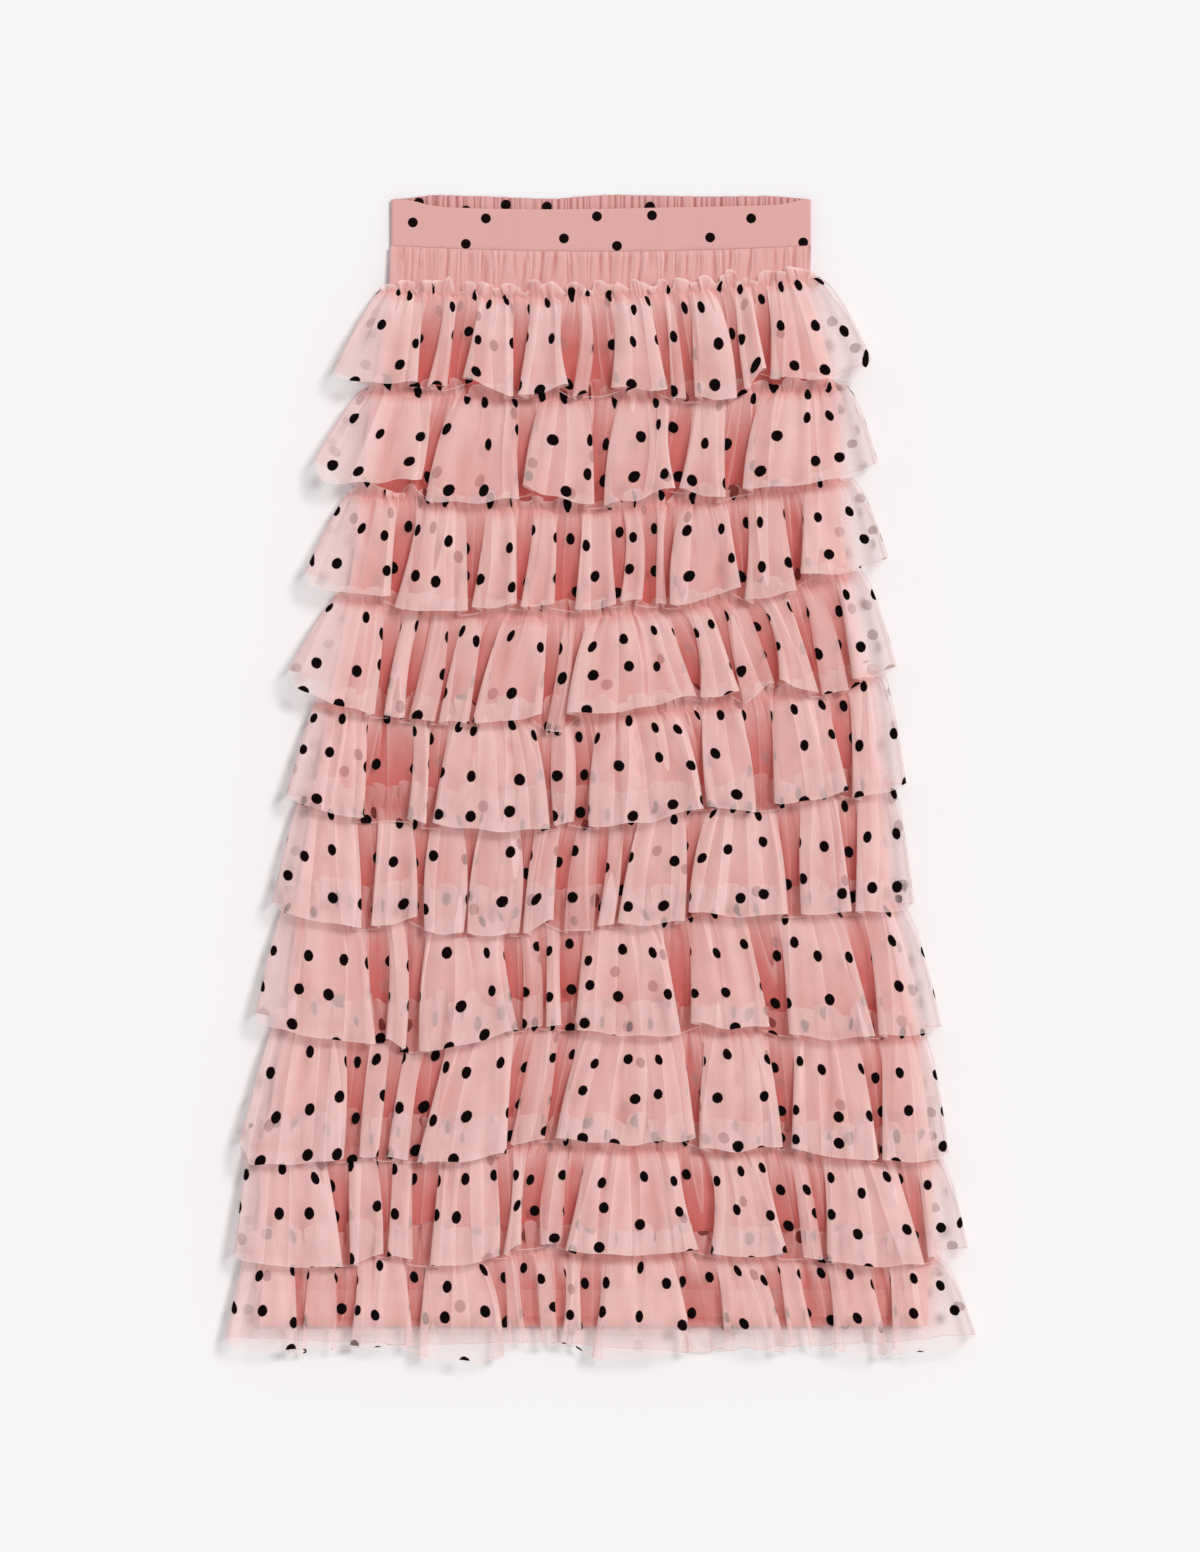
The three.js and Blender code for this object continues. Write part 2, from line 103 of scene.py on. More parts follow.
FOLD_COLUMNS = "gap width rise left right"
FRONT_FOLDS = [
    [
        [0, 71, 15, 0, 4], [8, 17, 9, 6, 8], [13, 43, 14, 0, 15], [4, 43, 16, 15, 7],
        [3, 13, 6, 15, 14], [20, 48, 16, 8, 10], [3, 13, 8, 17, 17], [7, 36, 12, 17, 17],
        [6, 19, 13, 8, -7], [3, 86, 18, 0, -2],
    ],
    [
        [0, 91, 16, -5, -4], [3, 80, 11, 14, 12], [3, 61, 16, 3, 17], [8, 61, 14, 17, 3],
        [3, 40, 13, 4, 12], [14, 115, 18, 4, -13],
    ],
    [
        [0, 72, 15, -8, 1], [3, 62, 16, 11, 14], [3, 38, 14, 12, 8], [3, 29, 10, 11, 8],
        [17, 35, 12, 13, 9], [3, 19, 9, 6, 5], [11, 9, 6, 8, 8], [3, 60, 17, 9, -5],
        [3, 44, 13, 5, -3], [3, 74, 18, -17, -24],
    ],
    [
        [0, 74, 16, -13, 12], [8, 18, 12, 13, 15], [3, 23, 7, 17, 18], [3, 26, 13, 18, 20],
        [3, 60, 16, 19, 13], [3, 15, 6, 26, 26], [3, 112, 18, 12, -3], [3, 34, 12, -2, -6],
        [3, 27, 7, 2, -14], [4, 34, 15, -16, -6], [3, 23, 8, -4, -8], [3, 38, 17, -18, -24],
    ],
    [
        [0, 65, 15, -8, 8], [36, 16, 13, 8, 13], [5, 98, 17, 13, 17], [3, 17, 10, 14, 11],
        [12, 96, 18, 15, 0], [3, 41, 14, -2, 2], [15, 62, 16, -4, -14], [3, 45, 14, -9, -19],
    ],
    [
        [0, 76, 15, -9, 7], [8, 39, 13, 6, -1], [6, 33, 15, 10, 13], [3, 44, 14, 13, 12],
        [3, 26, 16, 12, 1], [9, 25, 5, 10, 10], [3, 14, 10, 6, 5], [3, 57, 16, 4, 2],
        [3, 84, 18, -6, -4], [11, 43, 15, -4, -6], [3, 50, 14, -6, -9],
    ],
    [
        [0, 101, 16, -8, 10], [8, 17, 10, 6, 14], [11, 83, 18, 16, -1], [3, 17, 6, -3, -4],
        [3, 13, 10, -4, -5], [11, 89, 17, -2, 3], [8, 66, 16, -7, -4], [16, 72, 17, 3, 4],
        [3, 53, 14, 3, -1],
    ],
    [
        [0, 87, 16, 6, 6], [13, 16, 12, 4, 4], [7, 18, 9, 5, 6], [7, 75, 17, 8, 1],
        [3, 29, 7, -6, -11], [9, 117, 18, -12, -11], [3, 70, 15, -3, -5], [7, 73, 17, -3, 6],
        [3, 56, 14, 7, 4],
    ],
    [
        [0, 92, 15, 2, 8], [6, 28, 13, 6, -2], [3, 22, 9, 0, 3], [14, 59, 17, 8, 0],
        [3, 15, 9, -2, -9], [16, 18, 7, -10, -10], [3, 112, 18, -5, -6], [10, 65, 15, -2, -2],
        [13, 17, 7, 1, 3], [3, 82, 17, 4, 6], [3, 34, 13, 2, 0],
    ],
    [
        [0, 61, 14, -1, 2], [3, 29, 7, 2, 0], [12, 54, 14, -2, -2], [3, 73, 17, 7, 8],
        [3, 17, 7, -4, -4], [13, 12, 8, -4, -4], [3, 18, 10, -4, -2], [8, 86, 18, 8, 2],
        [26, 52, 15, -5, 2], [3, 23, 9, -3, -2], [15, 46, 16, 1, 6], [3, 71, 15, 2, -3],
    ],
]
# The back has fewer, broader folds. Each tier starts two rows further along this list, so that
# neighbours differ.
BACK_FOLDS = [
    [8, 78, 1, 0, 6], [15, 104, 0.8, 5, -2], [10, 62, 1, -2, 4], [19, 120, 0.9, 3, 0],
    [12, 91, 1, 0, -3],
]
print("front folds:", sum(len(rows) for rows in FRONT_FOLDS))

# %% [markdown]
# Cloth never bends at a corner, so the folds' few points are only knots, and a smooth curve runs
# through them. A centripetal Catmull-Rom curve is chosen because it passes through every knot and
# makes no loops where a short side meets a broad crown. One more helper gives uneven, repeatable
# wandering, since no two gathers in real cloth are alike.


# %% Helpers for curves and unevenness
def mix(low, high, share):
    """The straight blend low + (high - low) * share."""
    return low + (high - low) * share


def smooth_path(knots, per_span):
    """Points along a smooth curve through knots, one row for each knot. Every span is the cubic that
    has the knots' own places at its ends, and there the slopes of a centripetal Catmull-Rom curve:
    the mean of the slopes on both sides, each weighed by the other side's length. A span's length in
    the parameter is the square root of its length across and up, the first two columns."""
    step = np.sqrt(np.maximum(np.hypot(*np.diff(knots[:, :2], axis=0).T), 0.05))[:, None]
    slope = np.diff(knots, axis=0) / step
    inner = (slope[:-1] * step[1:] + slope[1:] * step[:-1]) / (step[:-1] + step[1:])
    tangent = np.vstack([slope[:1], inner, slope[-1:]])
    t = np.linspace(0, 1, per_span, endpoint=False)[None, :, None]
    start, end = knots[:-1, None], knots[1:, None]
    leave, arrive = tangent[:-1, None] * step[:, None], tangent[1:, None] * step[:, None]
    curve = (
        (2 * t**3 - 3 * t**2 + 1) * start
        + (t**3 - 2 * t**2 + t) * leave
        + (3 * t**2 - 2 * t**3) * end
        + (t**3 - t**2) * arrive
    )
    return np.vstack([curve.reshape(-1, knots.shape[1]), knots[-1:]])


def wander(share, waves, seed):
    """Smooth unevenness, mostly between -1 and 1: the sum of five sines of about the given number of
    waves, each with its own pitch and start."""
    draw = np.random.default_rng(seed)
    pitch = waves * draw.uniform(0.5, 1.5, 5)
    start = draw.uniform(0, 2 * np.pi, 5)
    share = np.asarray(share)[..., None]
    return np.sin(2 * np.pi * pitch * share + start).sum(-1) / 2.5


def gathers(share, waves, depth, seed, stray=1.3):
    """Heights of a row of soft tucks: depth times a sine's size to the power of 0.8, so that crests
    are round and the valleys between them sharp, with uneven depth. stray is how far, in radians,
    they wander from even spacing."""
    phase = np.pi * waves * share + stray * wander(share, waves / 3, seed)
    uneven = 0.75 + 0.25 * wander(share, waves / 2, seed + 1)
    return depth * uneven * np.abs(np.sin(phase)) ** 0.8


def base_edges(y):
    """Left and right edge at a height: straight between the tiers' stitch lines, a little inside."""
    station_y = np.concatenate([[BAND_BOTTOM], TIERS["head_mid_y"]])
    left = np.concatenate([[-BAND_HALF_WIDTH], TIERS["head_left"] + BASE_INSET])
    right = np.concatenate([[BAND_HALF_WIDTH], TIERS["head_right"] - BASE_INSET])
    return np.interp(-y, -station_y, left), np.interp(-y, -station_y, right)


def layer_height(layer, y):
    """The layer's height at the waist below the band, rising evenly to its height over the body."""
    settled = np.clip((BAND_BOTTOM - y) / (BAND_BOTTOM - SETTLE_END), 0, 1)
    return mix(layer[0], layer[1], settled)


# %% [markdown]
# Each sheet becomes a grid of points, rows from waist to hem and columns from left to right. One
# function puts such a grid into a mesh, with a UV map in real metres of cloth, so that weave and dots
# keep their true size however the cloth is gathered. It also stores what the material needs to know
# at each point, such as how many times over the net covers it there.


# %% From a grid of points to a sheet of cloth
ROOT = "root"


def add_sheet(name, points, cloth_uv, material, outward=1, fields=()):
    """A mesh of four-cornered faces between neighbouring grid points. outward is 1 where the outside
    faces up and -1 where it faces down. fields are (name, value at each point)."""
    rows, columns = points.shape[:2]
    index = np.arange(rows * columns).reshape(rows, columns)
    corners = [index[:-1, :-1], index[1:, :-1], index[1:, 1:], index[:-1, 1:]]
    quads = np.stack(corners, axis=-1).reshape(-1, 4)[:, ::outward]
    mesh = bpy.data.meshes.new(name)
    mesh.from_pydata((points.reshape(-1, 3) * MM).tolist(), [], quads.tolist())
    uv_map = mesh.uv_layers.new(name="Cloth")
    uv_map.data.foreach_set("uv", (cloth_uv.reshape(-1, 2)[quads.reshape(-1)] * MM).ravel())
    for field, values in fields:
        attribute = mesh.attributes.new(field, "FLOAT", "POINT")
        attribute.data.foreach_set("value", np.ascontiguousarray(values, dtype=np.float32).ravel())
    mesh.shade_smooth()
    mesh.materials.append(material)
    piece = bpy.data.objects.new(name, mesh)
    bpy.context.scene.collection.objects.link(piece)
    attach(piece, ROOT)
    return piece


def surface_area(points):
    """Square metres of a grid: half the length of the cross product of each quad's two diagonals,
    added up."""
    falling = points[1:, 1:] - points[:-1, :-1]
    rising = points[:-1, 1:] - points[1:, :-1]
    return np.linalg.norm(np.cross(falling, rising), axis=-1).sum() / 2 * MM**2


def how_level(points):
    """How level the grid is at each point, from 0 on edge to 1 flat: the size of the unit normal's
    height, from the cross product of the slopes along the columns and the rows."""
    normal = np.cross(np.gradient(points, axis=1), np.gradient(points, axis=0))
    length = np.maximum(np.linalg.norm(normal, axis=-1), 1e-9)
    return np.abs(normal[..., 2]) / length


def hollow(points, reach):
    """How far each point lies below the mean height of its own row, that many columns to each side,
    in mm: a running mean, from the differences of a running sum."""
    z = points[..., 2]
    total = np.pad(z, ((0, 0), (reach + 1, reach)), mode="edge").cumsum(axis=1)
    span = 2 * reach + 1
    return (total[:, span:] - total[:, :-span]) / span - z


# %% [markdown]
# Materials are small networks of nodes on the Principled shader. Colours are written as the hex
# values that the eye sees in the picture, and one function turns them into the linear numbers that
# the renderer adds up.


# %% Helpers for materials
def linear(hex_colour):
    """Linear red, green, blue and a full alpha from an sRGB hex value, by the sRGB curve."""
    srgb = np.array([int(hex_colour[i : i + 2], 16) for i in (1, 3, 5)]) / 255
    curve = np.where(srgb <= 0.04045, srgb / 12.92, ((srgb + 0.055) / 1.055) ** 2.4)
    return (*curve.tolist(), 1.0)


def add_node(tree, kind, inputs=None, **settings):
    """A new node with its settings. inputs are values, or other nodes' outputs to link to."""
    node = tree.nodes.new(kind)
    for setting, value in settings.items():
        setattr(node, setting, value)
    for socket, value in (inputs or {}).items():
        if isinstance(value, bpy.types.NodeSocket):
            tree.links.new(value, node.inputs[socket])
        else:
            node.inputs[socket].default_value = value
    return node


def new_material(name):
    """An empty material and its node tree."""
    material = bpy.data.materials.new(name)
    material.use_nodes = True
    material.node_tree.nodes.clear()
    return material, material.node_tree


def finish_material(tree, shader_inputs):
    """The Principled shader with its inputs, linked to the output."""
    shader = add_node(tree, "ShaderNodeBsdfPrincipled", shader_inputs)
    add_node(tree, "ShaderNodeOutputMaterial", {"Surface": shader.outputs["BSDF"]})


# %% [markdown]
# The net is soft polyester tulle, knitted of thread so fine that its holes can't be told apart from a
# step away: the eye gets a pale pink veil that lets about half of what lies behind through. So its
# holes are drawn as an even see-through share instead of being cut. Where the strip is gathered, the
# net lies over itself and hides more, by the same share each time. Turned edges and raw hems catch
# the light as fine pale lines, drawn as painted highlight on net that also hides more there. In valleys
# and creases, and along the stitching, the net is painted a deeper coral as painted shade. Beyond the
# base skirt and the lining it is painted paler as painted light.
# Its dots are flocked: short black fibres glued upright, matt, a little furry at the rim. The paler
# ghosts stand for dots of the net behind.

# %% Dots of the net
DOT_CELL = 35.5 * MM
DOT_JITTER = 0.5
DOT_RADIUS = 4.75 * MM
DOT_EDGE = 0.2 * MM
# Flock is uneven at the rim: the grain of the noise, and how far in all the rim strays
FUR_GRAIN = 1.1 * MM
FUR_REACH = 0.9 * MM
# Ghosts lie on the same grid, turned in radians and shifted in metres. One in five or so is kept
GHOST_TURN = 0.6
GHOST_SHIFT = (0.0173, 0.0091, 0)
GHOST_FROM = 0.79
GHOST_SHOWS = 0.75


def dot_mask(tree, place, noise):
    """1 within a dot and 0 outside it, from the distance to the nearest of one point a cell, made a
    little uneven at the rim. Also the random colour of that cell."""
    cells = add_node(
        tree,
        "ShaderNodeTexVoronoi",
        {"Vector": place, "Scale": 1 / DOT_CELL, "Randomness": DOT_JITTER},
        voronoi_dimensions="2D",
    )
    reach = add_node(
        tree,
        "ShaderNodeMath",
        {0: cells.outputs["Distance"], 1: DOT_CELL, 2: noise},
        operation="MULTIPLY_ADD",
    ).outputs[0]
    inputs = {"Value": reach, "From Min": DOT_RADIUS + DOT_EDGE, "From Max": DOT_RADIUS - DOT_EDGE}
    return add_node(tree, "ShaderNodeMapRange", inputs).outputs["Result"], cells.outputs["Color"]


def net_dots(tree, cloth):
    """Shares of the dots and of the ghosts at each point. A dot is paler by the share far, which the
    mesh stores, and a ghost is kept where the red of its cell's random colour is past a limit."""
    grain = {"Vector": cloth, "Scale": 1 / FUR_GRAIN, "Detail": 1.0}
    furry = add_node(tree, "ShaderNodeTexNoise", grain, noise_dimensions="2D").outputs["Fac"]
    stray = {0: furry, 1: FUR_REACH, 2: -FUR_REACH / 2}
    rim = add_node(tree, "ShaderNodeMath", stray, operation="MULTIPLY_ADD").outputs[0]
    far = add_node(tree, "ShaderNodeAttribute", attribute_name="far").outputs["Fac"]
    near = add_node(tree, "ShaderNodeMath", {0: 1.0, 1: far}, operation="SUBTRACT").outputs[0]
    dot = dot_mask(tree, cloth, rim)[0]
    dot = add_node(tree, "ShaderNodeMath", {0: dot, 1: near}, operation="MULTIPLY").outputs[0]

    moved = {"Vector": cloth, "Location": GHOST_SHIFT, "Rotation": (0, 0, GHOST_TURN)}
    behind = add_node(tree, "ShaderNodeMapping", moved).outputs["Vector"]
    ghost, draw = dot_mask(tree, behind, rim)
    drawn = add_node(tree, "ShaderNodeSeparateColor", {"Color": draw}).outputs["Red"]
    kept = add_node(tree, "ShaderNodeMath", {0: drawn, 1: GHOST_FROM}, operation="GREATER_THAN")
    for share in (kept.outputs[0], GHOST_SHOWS):
        ghost = add_node(tree, "ShaderNodeMath", {0: ghost, 1: share}, operation="MULTIPLY").outputs[0]
    return dot, ghost


# %% Dotted tulle
NET_SHOWS = 0.5
# Fine lines: where each begins and is full, how strongly it shows, and how much it hides. Raw edges
# and stitching are measured from the edge and from the stitch line
RAW_EDGE = (1.5 * MM, 0.6 * MM)
RAW_SHOWS = 0.75
# Along the stitching the net is painted a darker pink, painted shade of the gathers under the layer
# above, and it hides more there as denser net
STITCHES = (9 * MM, 0.6 * MM)
STITCH_SHADE_SHOWS = 0.55
EDGE_HIDES = 0.65
STITCHES_HIDE = 0.16
# Crinkle in the net runs down the strip: about 1.2 mm across and 18 mm along. The real threads are
# finer than a pixel, so this is drawn as coarse as it needs to show
CRINKLE_SCALE = (1 / (1.2 * MM), 1 / (18 * MM), 1)
CRINKLE_RELIEF = 0.25 * MM
FLOCK_RELIEF = 0.3 * MM
# The veil is uneven: denser and thinner patches about 22 mm across and 80 mm along
PATCH_SCALE = (1 / (22 * MM), 1 / (80 * MM), 1)
PATCH_STRENGTH = 1.0
# Where the net is laid over itself the veil grows slowly and ends at a crisp line. Noise 26 mm across
# and 450 mm along is cut into such steps, and the last of each step is the line
LAID_SCALE = (1 / (26 * MM), 1 / (450 * MM), 1)
LAID_STEPS = 1.9
LAID_SHARPNESS = 3
LAID_COVER = 0.6
LAID_LINE = (0.95, 0.98)
LAID_SHOWS = 0.3


def tulle_material():
    """Soft pink tulle with flocked dots: IOR 1.5 and roughness 0.85, typical of matt polyester. Net
    lets through what one layer lets through, to the power of the number of layers. It hides the
    rest."""
    material, tree = new_material("dotted_tulle")
    cloth = add_node(tree, "ShaderNodeUVMap", uv_map="Cloth").outputs["UV"]
    dot, ghost = net_dots(tree, cloth)
    cover, turned, valley, open_painted_light, from_edge, from_stitch = (
        add_node(tree, "ShaderNodeAttribute", attribute_name=name).outputs["Fac"]
        for name in ("cover", "turned", "valley", "open", "from_edge", "from_stitch")
    )

    patterns = []
    for scale, detail, roughness in (
        (CRINKLE_SCALE, 2.0, 0.6),
        (LAID_SCALE, 0.0, 0.5),
        (PATCH_SCALE, 1.0, 0.5),
    ):
        stretched = add_node(tree, "ShaderNodeMapping", {"Vector": cloth, "Scale": scale})
        grain = {"Vector": stretched.outputs["Vector"], "Scale": 1.0, "Detail": detail}
        grain["Roughness"] = roughness
        noise = add_node(tree, "ShaderNodeTexNoise", grain, noise_dimensions="2D")
        patterns.append(noise.outputs["Fac"])
    crinkle, laid_by, patches = patterns
    steps = {0: laid_by, 1: LAID_STEPS}
    steps = add_node(tree, "ShaderNodeMath", steps, operation="MULTIPLY").outputs[0]
    step = add_node(tree, "ShaderNodeMath", {0: steps}, operation="FRACT").outputs[0]

    lines = []
    for value, (begins, full), shows in (
        (from_edge, RAW_EDGE, RAW_SHOWS),
        (step, LAID_LINE, LAID_SHOWS),
        (from_stitch, STITCHES, STITCH_SHADE_SHOWS),
    ):
        inputs = {"Value": value, "From Min": begins, "From Max": full, "To Max": shows}
        lines.append(add_node(tree, "ShaderNodeMapRange", inputs).outputs["Result"])
    raw, edge, stitch_density_and_shade = lines
    for line in (raw, turned):
        edge = add_node(tree, "ShaderNodeMath", {0: edge, 1: line}, operation="MAXIMUM").outputs[0]

    net = {"Factor": crinkle, "A": linear("#F8CBC6"), "B": linear("#FEDCD8")}
    colour = add_node(tree, "ShaderNodeMix", net, data_type="RGBA").outputs[2]
    # Over the net's own colour go: a paler colour beyond the base skirt, painted light; a deeper coral
    # in valleys and creases and a darker pink along the stitching, painted shade; the pale edge lines,
    # painted highlight on denser net; then the ghosts and the dots
    for share, top in (
        (open_painted_light, "#FFDEDB"),
        (valley, "#CB5B54"),
        (stitch_density_and_shade, "#E8948E"),
        (edge, "#FCDFDB"),
        (ghost, "#B79492"),
        (dot, "#0A0202"),
    ):
        laid_on = {"Factor": share, "A": colour, "B": linear(top)}
        colour = add_node(tree, "ShaderNodeMix", laid_on, data_type="RGBA").outputs[2]

    # Layers of net at each point: those of the mesh, in patches and in laid-over steps
    patchy = {0: patches, 1: PATCH_STRENGTH, 2: 1 - PATCH_STRENGTH / 2 - LAID_COVER / 4}
    patchy = add_node(tree, "ShaderNodeMath", patchy, operation="MULTIPLY_ADD").outputs[0]
    laid = add_node(tree, "ShaderNodeMath", {0: step, 1: LAID_SHARPNESS}, operation="POWER").outputs[0]
    uneven = {0: laid, 1: LAID_COVER, 2: patchy}
    uneven = add_node(tree, "ShaderNodeMath", uneven, operation="MULTIPLY_ADD").outputs[0]
    layers = add_node(tree, "ShaderNodeMath", {0: cover, 1: uneven}, operation="MULTIPLY").outputs[0]
    through = {0: 1 - NET_SHOWS, 1: layers}
    through = add_node(tree, "ShaderNodeMath", through, operation="POWER").outputs[0]
    hides = add_node(tree, "ShaderNodeMath", {0: 1.0, 1: through}, operation="SUBTRACT").outputs[0]

    # Dots, stitching and edges hide more than the net does
    solid = {0: stitch_density_and_shade, 1: STITCHES_HIDE, 2: dot}
    solid = add_node(tree, "ShaderNodeMath", solid, operation="MULTIPLY_ADD").outputs[0]
    solid = {0: edge, 1: EDGE_HIDES, 2: solid}
    solid = add_node(tree, "ShaderNodeMath", solid, operation="MULTIPLY_ADD", use_clamp=True).outputs[0]
    alpha = add_node(tree, "ShaderNodeMath", {0: hides, 1: solid}, operation="MAXIMUM").outputs[0]

    height = {0: dot, 1: FLOCK_RELIEF}
    height = add_node(tree, "ShaderNodeMath", height, operation="MULTIPLY").outputs[0]
    height = {0: crinkle, 1: CRINKLE_RELIEF, 2: height}
    height = add_node(tree, "ShaderNodeMath", height, operation="MULTIPLY_ADD").outputs[0]
    relief = add_node(tree, "ShaderNodeBump", {"Height": height, "Distance": 1.0, "Strength": 0.8})
    finish_material(
        tree,
        {
            "Base Color": colour,
            "Alpha": alpha,
            "Roughness": 0.85,
            "IOR": 1.5,
            "Specular IOR Level": 0.06,
            "Sheen Weight": 0.02,
            "Sheen Roughness": 0.5,
            "Normal": relief.outputs["Normal"],
        },
    )
    return material


TULLE = tulle_material()
print("tulle shows", NET_SHOWS, "of itself, one dot to each", round(DOT_CELL / MM, 1), "mm")

# %% [markdown]
# The other cloths are closed to the eye. The base skirt is plain mesh of the same pink, two layers
# thick, matt and a little crinkled. The lining is smooth woven polyester with a soft sheen, a deeper
# coral. The waistband is crepe mesh pulled flat over a lined facing. They share one recipe, with
# their own colours, thread spacing and gloss.


# %% Plain cloths
def plain_cloth(name, dark, light, thread, along, relief, roughness, sheen, over=()):
    """Closed cloth: its colour and its relief follow the threads, which are long noise grains of the
    thread's width in mm, stretched along by the given length in mm, and relief is their height in
    mm. over holds the mesh's fields and the colour of the cloth where each of them is 1."""
    material, tree = new_material(name)
    cloth = add_node(tree, "ShaderNodeUVMap", uv_map="Cloth").outputs["UV"]
    scale = (1 / (thread * MM), 1 / (along * MM), 1)
    stretched = add_node(tree, "ShaderNodeMapping", {"Vector": cloth, "Scale": scale})
    grain = add_node(
        tree,
        "ShaderNodeTexNoise",
        {"Vector": stretched.outputs["Vector"], "Scale": 1.0, "Detail": 2.0},
        noise_dimensions="2D",
    ).outputs["Fac"]
    colour = add_node(
        tree,
        "ShaderNodeMix",
        {"Factor": grain, "A": linear(dark), "B": linear(light)},
        data_type="RGBA",
    ).outputs[2]
    for name_of_field, top in over:
        share = add_node(tree, "ShaderNodeAttribute", attribute_name=name_of_field).outputs["Fac"]
        laid_on = {"Factor": share, "A": colour, "B": linear(top)}
        colour = add_node(tree, "ShaderNodeMix", laid_on, data_type="RGBA").outputs[2]
    height = add_node(tree, "ShaderNodeMath", {0: grain, 1: relief * MM}, operation="MULTIPLY")
    bump = add_node(tree, "ShaderNodeBump", {"Height": height.outputs[0], "Distance": 1.0})
    finish_material(
        tree,
        {
            "Base Color": colour,
            "Roughness": roughness,
            "IOR": 1.5,
            "Specular IOR Level": 0.25,
            "Sheen Weight": sheen,
            "Sheen Roughness": 0.4,
            "Normal": bump.outputs["Normal"],
        },
    )
    return material


# Matt mesh: fine grain down the cloth that softens its folds. Its yoke creases are painted darker as
# painted shade and its on-edge folds paler as painted highlight, below the first stitch line it is
# painted a deeper coral as painted shade of the ruffles over it, and it is paler towards its sides
BASE_OVER = [("hollow", "#C9837D"), ("turned", "#EFC6C2"), ("under", "#E07771"), ("side", "#F0C2BE")]
BASE_MESH = plain_cloth("base_mesh", "#DBA19C", "#E6B1AD", 1.2, 20, 0.2, 0.9, 0.05, BASE_OVER)
# Woven polyester lining: close and smooth, with a soft gleam
LINING_OVER = [("turned_hem", "#DC8A83"), ("side", "#F0BDB8")]
LINING_CLOTH = plain_cloth("woven_lining", "#E89B95", "#EEA7A1", 0.6, 6, 0.05, 0.55, 0.05, LINING_OVER)
# Crepe mesh pulled flat over the facing: a faint short grain across the band, and the back band's
# ruche creases painted darker as painted shade
BAND_OVER = [("hollow", "#B4706C")]
BAND_CLOTH = plain_cloth("waistband_crepe", "#DAA39F", "#E2ACA8", 1.0, 3, 0.08, 0.8, 0.05, BAND_OVER)

# %% [markdown]
# A ruffle is one long strip, gathered onto a stitch line and free at its hem. Its shape is set by a
# section along the hem: each fold is a crown between two round shoulders, whose sides bulge out and
# tuck back into the valley. Going up to the stitching, the folds shrink into many even gathers.

# %% The hem section of a ruffle
ROLL = 4
ROLL_SHARE = 0.17
TUCK = 9
TUCK_SHARE = 0.3
TUCK_TO_RISE = 0.6
SHOULDER = 0.93
BULGE = 0.5
WIDE_FOLD = 30
BOW_SHARE = 0.04
VALLEY_DROP = 3
BACK_VALLEY = 3.2
BACK_TUCK = 1.5
BACK_OVERLAP = 4
# How evenly the columns lie along the strip: 0 by the length of cloth, 1 by where the curve turns
TURN_SHARE = 0.3
CURVE_STEPS = 24
# Mm of cloth between a ruffle's last fold and its side seam. In front, the lift by the tier below
# adds to it
SEAM_DROP = 8


def tier_row(number):
    """One tier's sizes by name."""
    return {name: column[number] for name, column in TIERS.items()}


def head_y(tier, share):
    """Height up the skirt of the stitch line: a straight line between its ends with a parabola's sag."""
    sag = tier["head_mid_y"] - (tier["head_left_y"] + tier["head_right_y"]) / 2
    return mix(tier["head_left_y"], tier["head_right_y"], share) + 4 * share * (1 - share) * sag


def place_folds(tier, rows):
    """The folds' edges along the hem, from their gaps and widths, fitted to the tier's own width."""
    folds = table(FOLD_COLUMNS, rows)
    folds["gap"][0] = 0
    reach = np.cumsum(folds["gap"] + folds["width"])
    scale = (tier["hem_right"] - tier["hem_left"]) / reach[-1]
    folds["end"] = tier["hem_left"] + reach * scale
    folds["start"] = folds["end"] - folds["width"] * scale
    return folds


def front_knots(tier, rows):
    """Knots (x, rise, y, seam) of the hem. Seven for each fold: foot, bulge, shoulder, crown,
    shoulder, bulge, foot. Narrow folds have no crown, and the outer feet are the side seams."""
    f = place_folds(tier, rows)
    width = f["end"] - f["start"]
    roll = np.minimum(ROLL, ROLL_SHARE * width)
    tuck = np.minimum(np.minimum(TUCK, TUCK_SHARE * width), TUCK_TO_RISE * f["rise"])
    left, right = tier["hem_y"] - f["left"], tier["hem_y"] - f["right"]
    x = [f["start"] + tuck, f["start"], f["start"] + roll, (f["start"] + f["end"]) / 2]
    x += [f["end"] - roll, f["end"], f["end"] - tuck]
    rise = f["rise"][:, None] * np.array([0, BULGE, SHOULDER, 1, SHOULDER, BULGE, 0])
    y = [left - VALLEY_DROP, left, left, (left + right) / 2 - BOW_SHARE * width]
    y += [right, right, right - VALLEY_DROP]
    x, y = np.stack(x, axis=1), np.stack(y, axis=1)
    y[0, 1], y[-1, 5] = tier["corner_left_y"], tier["corner_right_y"]
    keep = np.ones(x.shape, dtype=bool)
    keep[:, 3] = width > WIDE_FOLD
    keep[0, 0] = keep[-1, 6] = False
    return with_seams(tier, x[keep], rise[keep], y[keep])


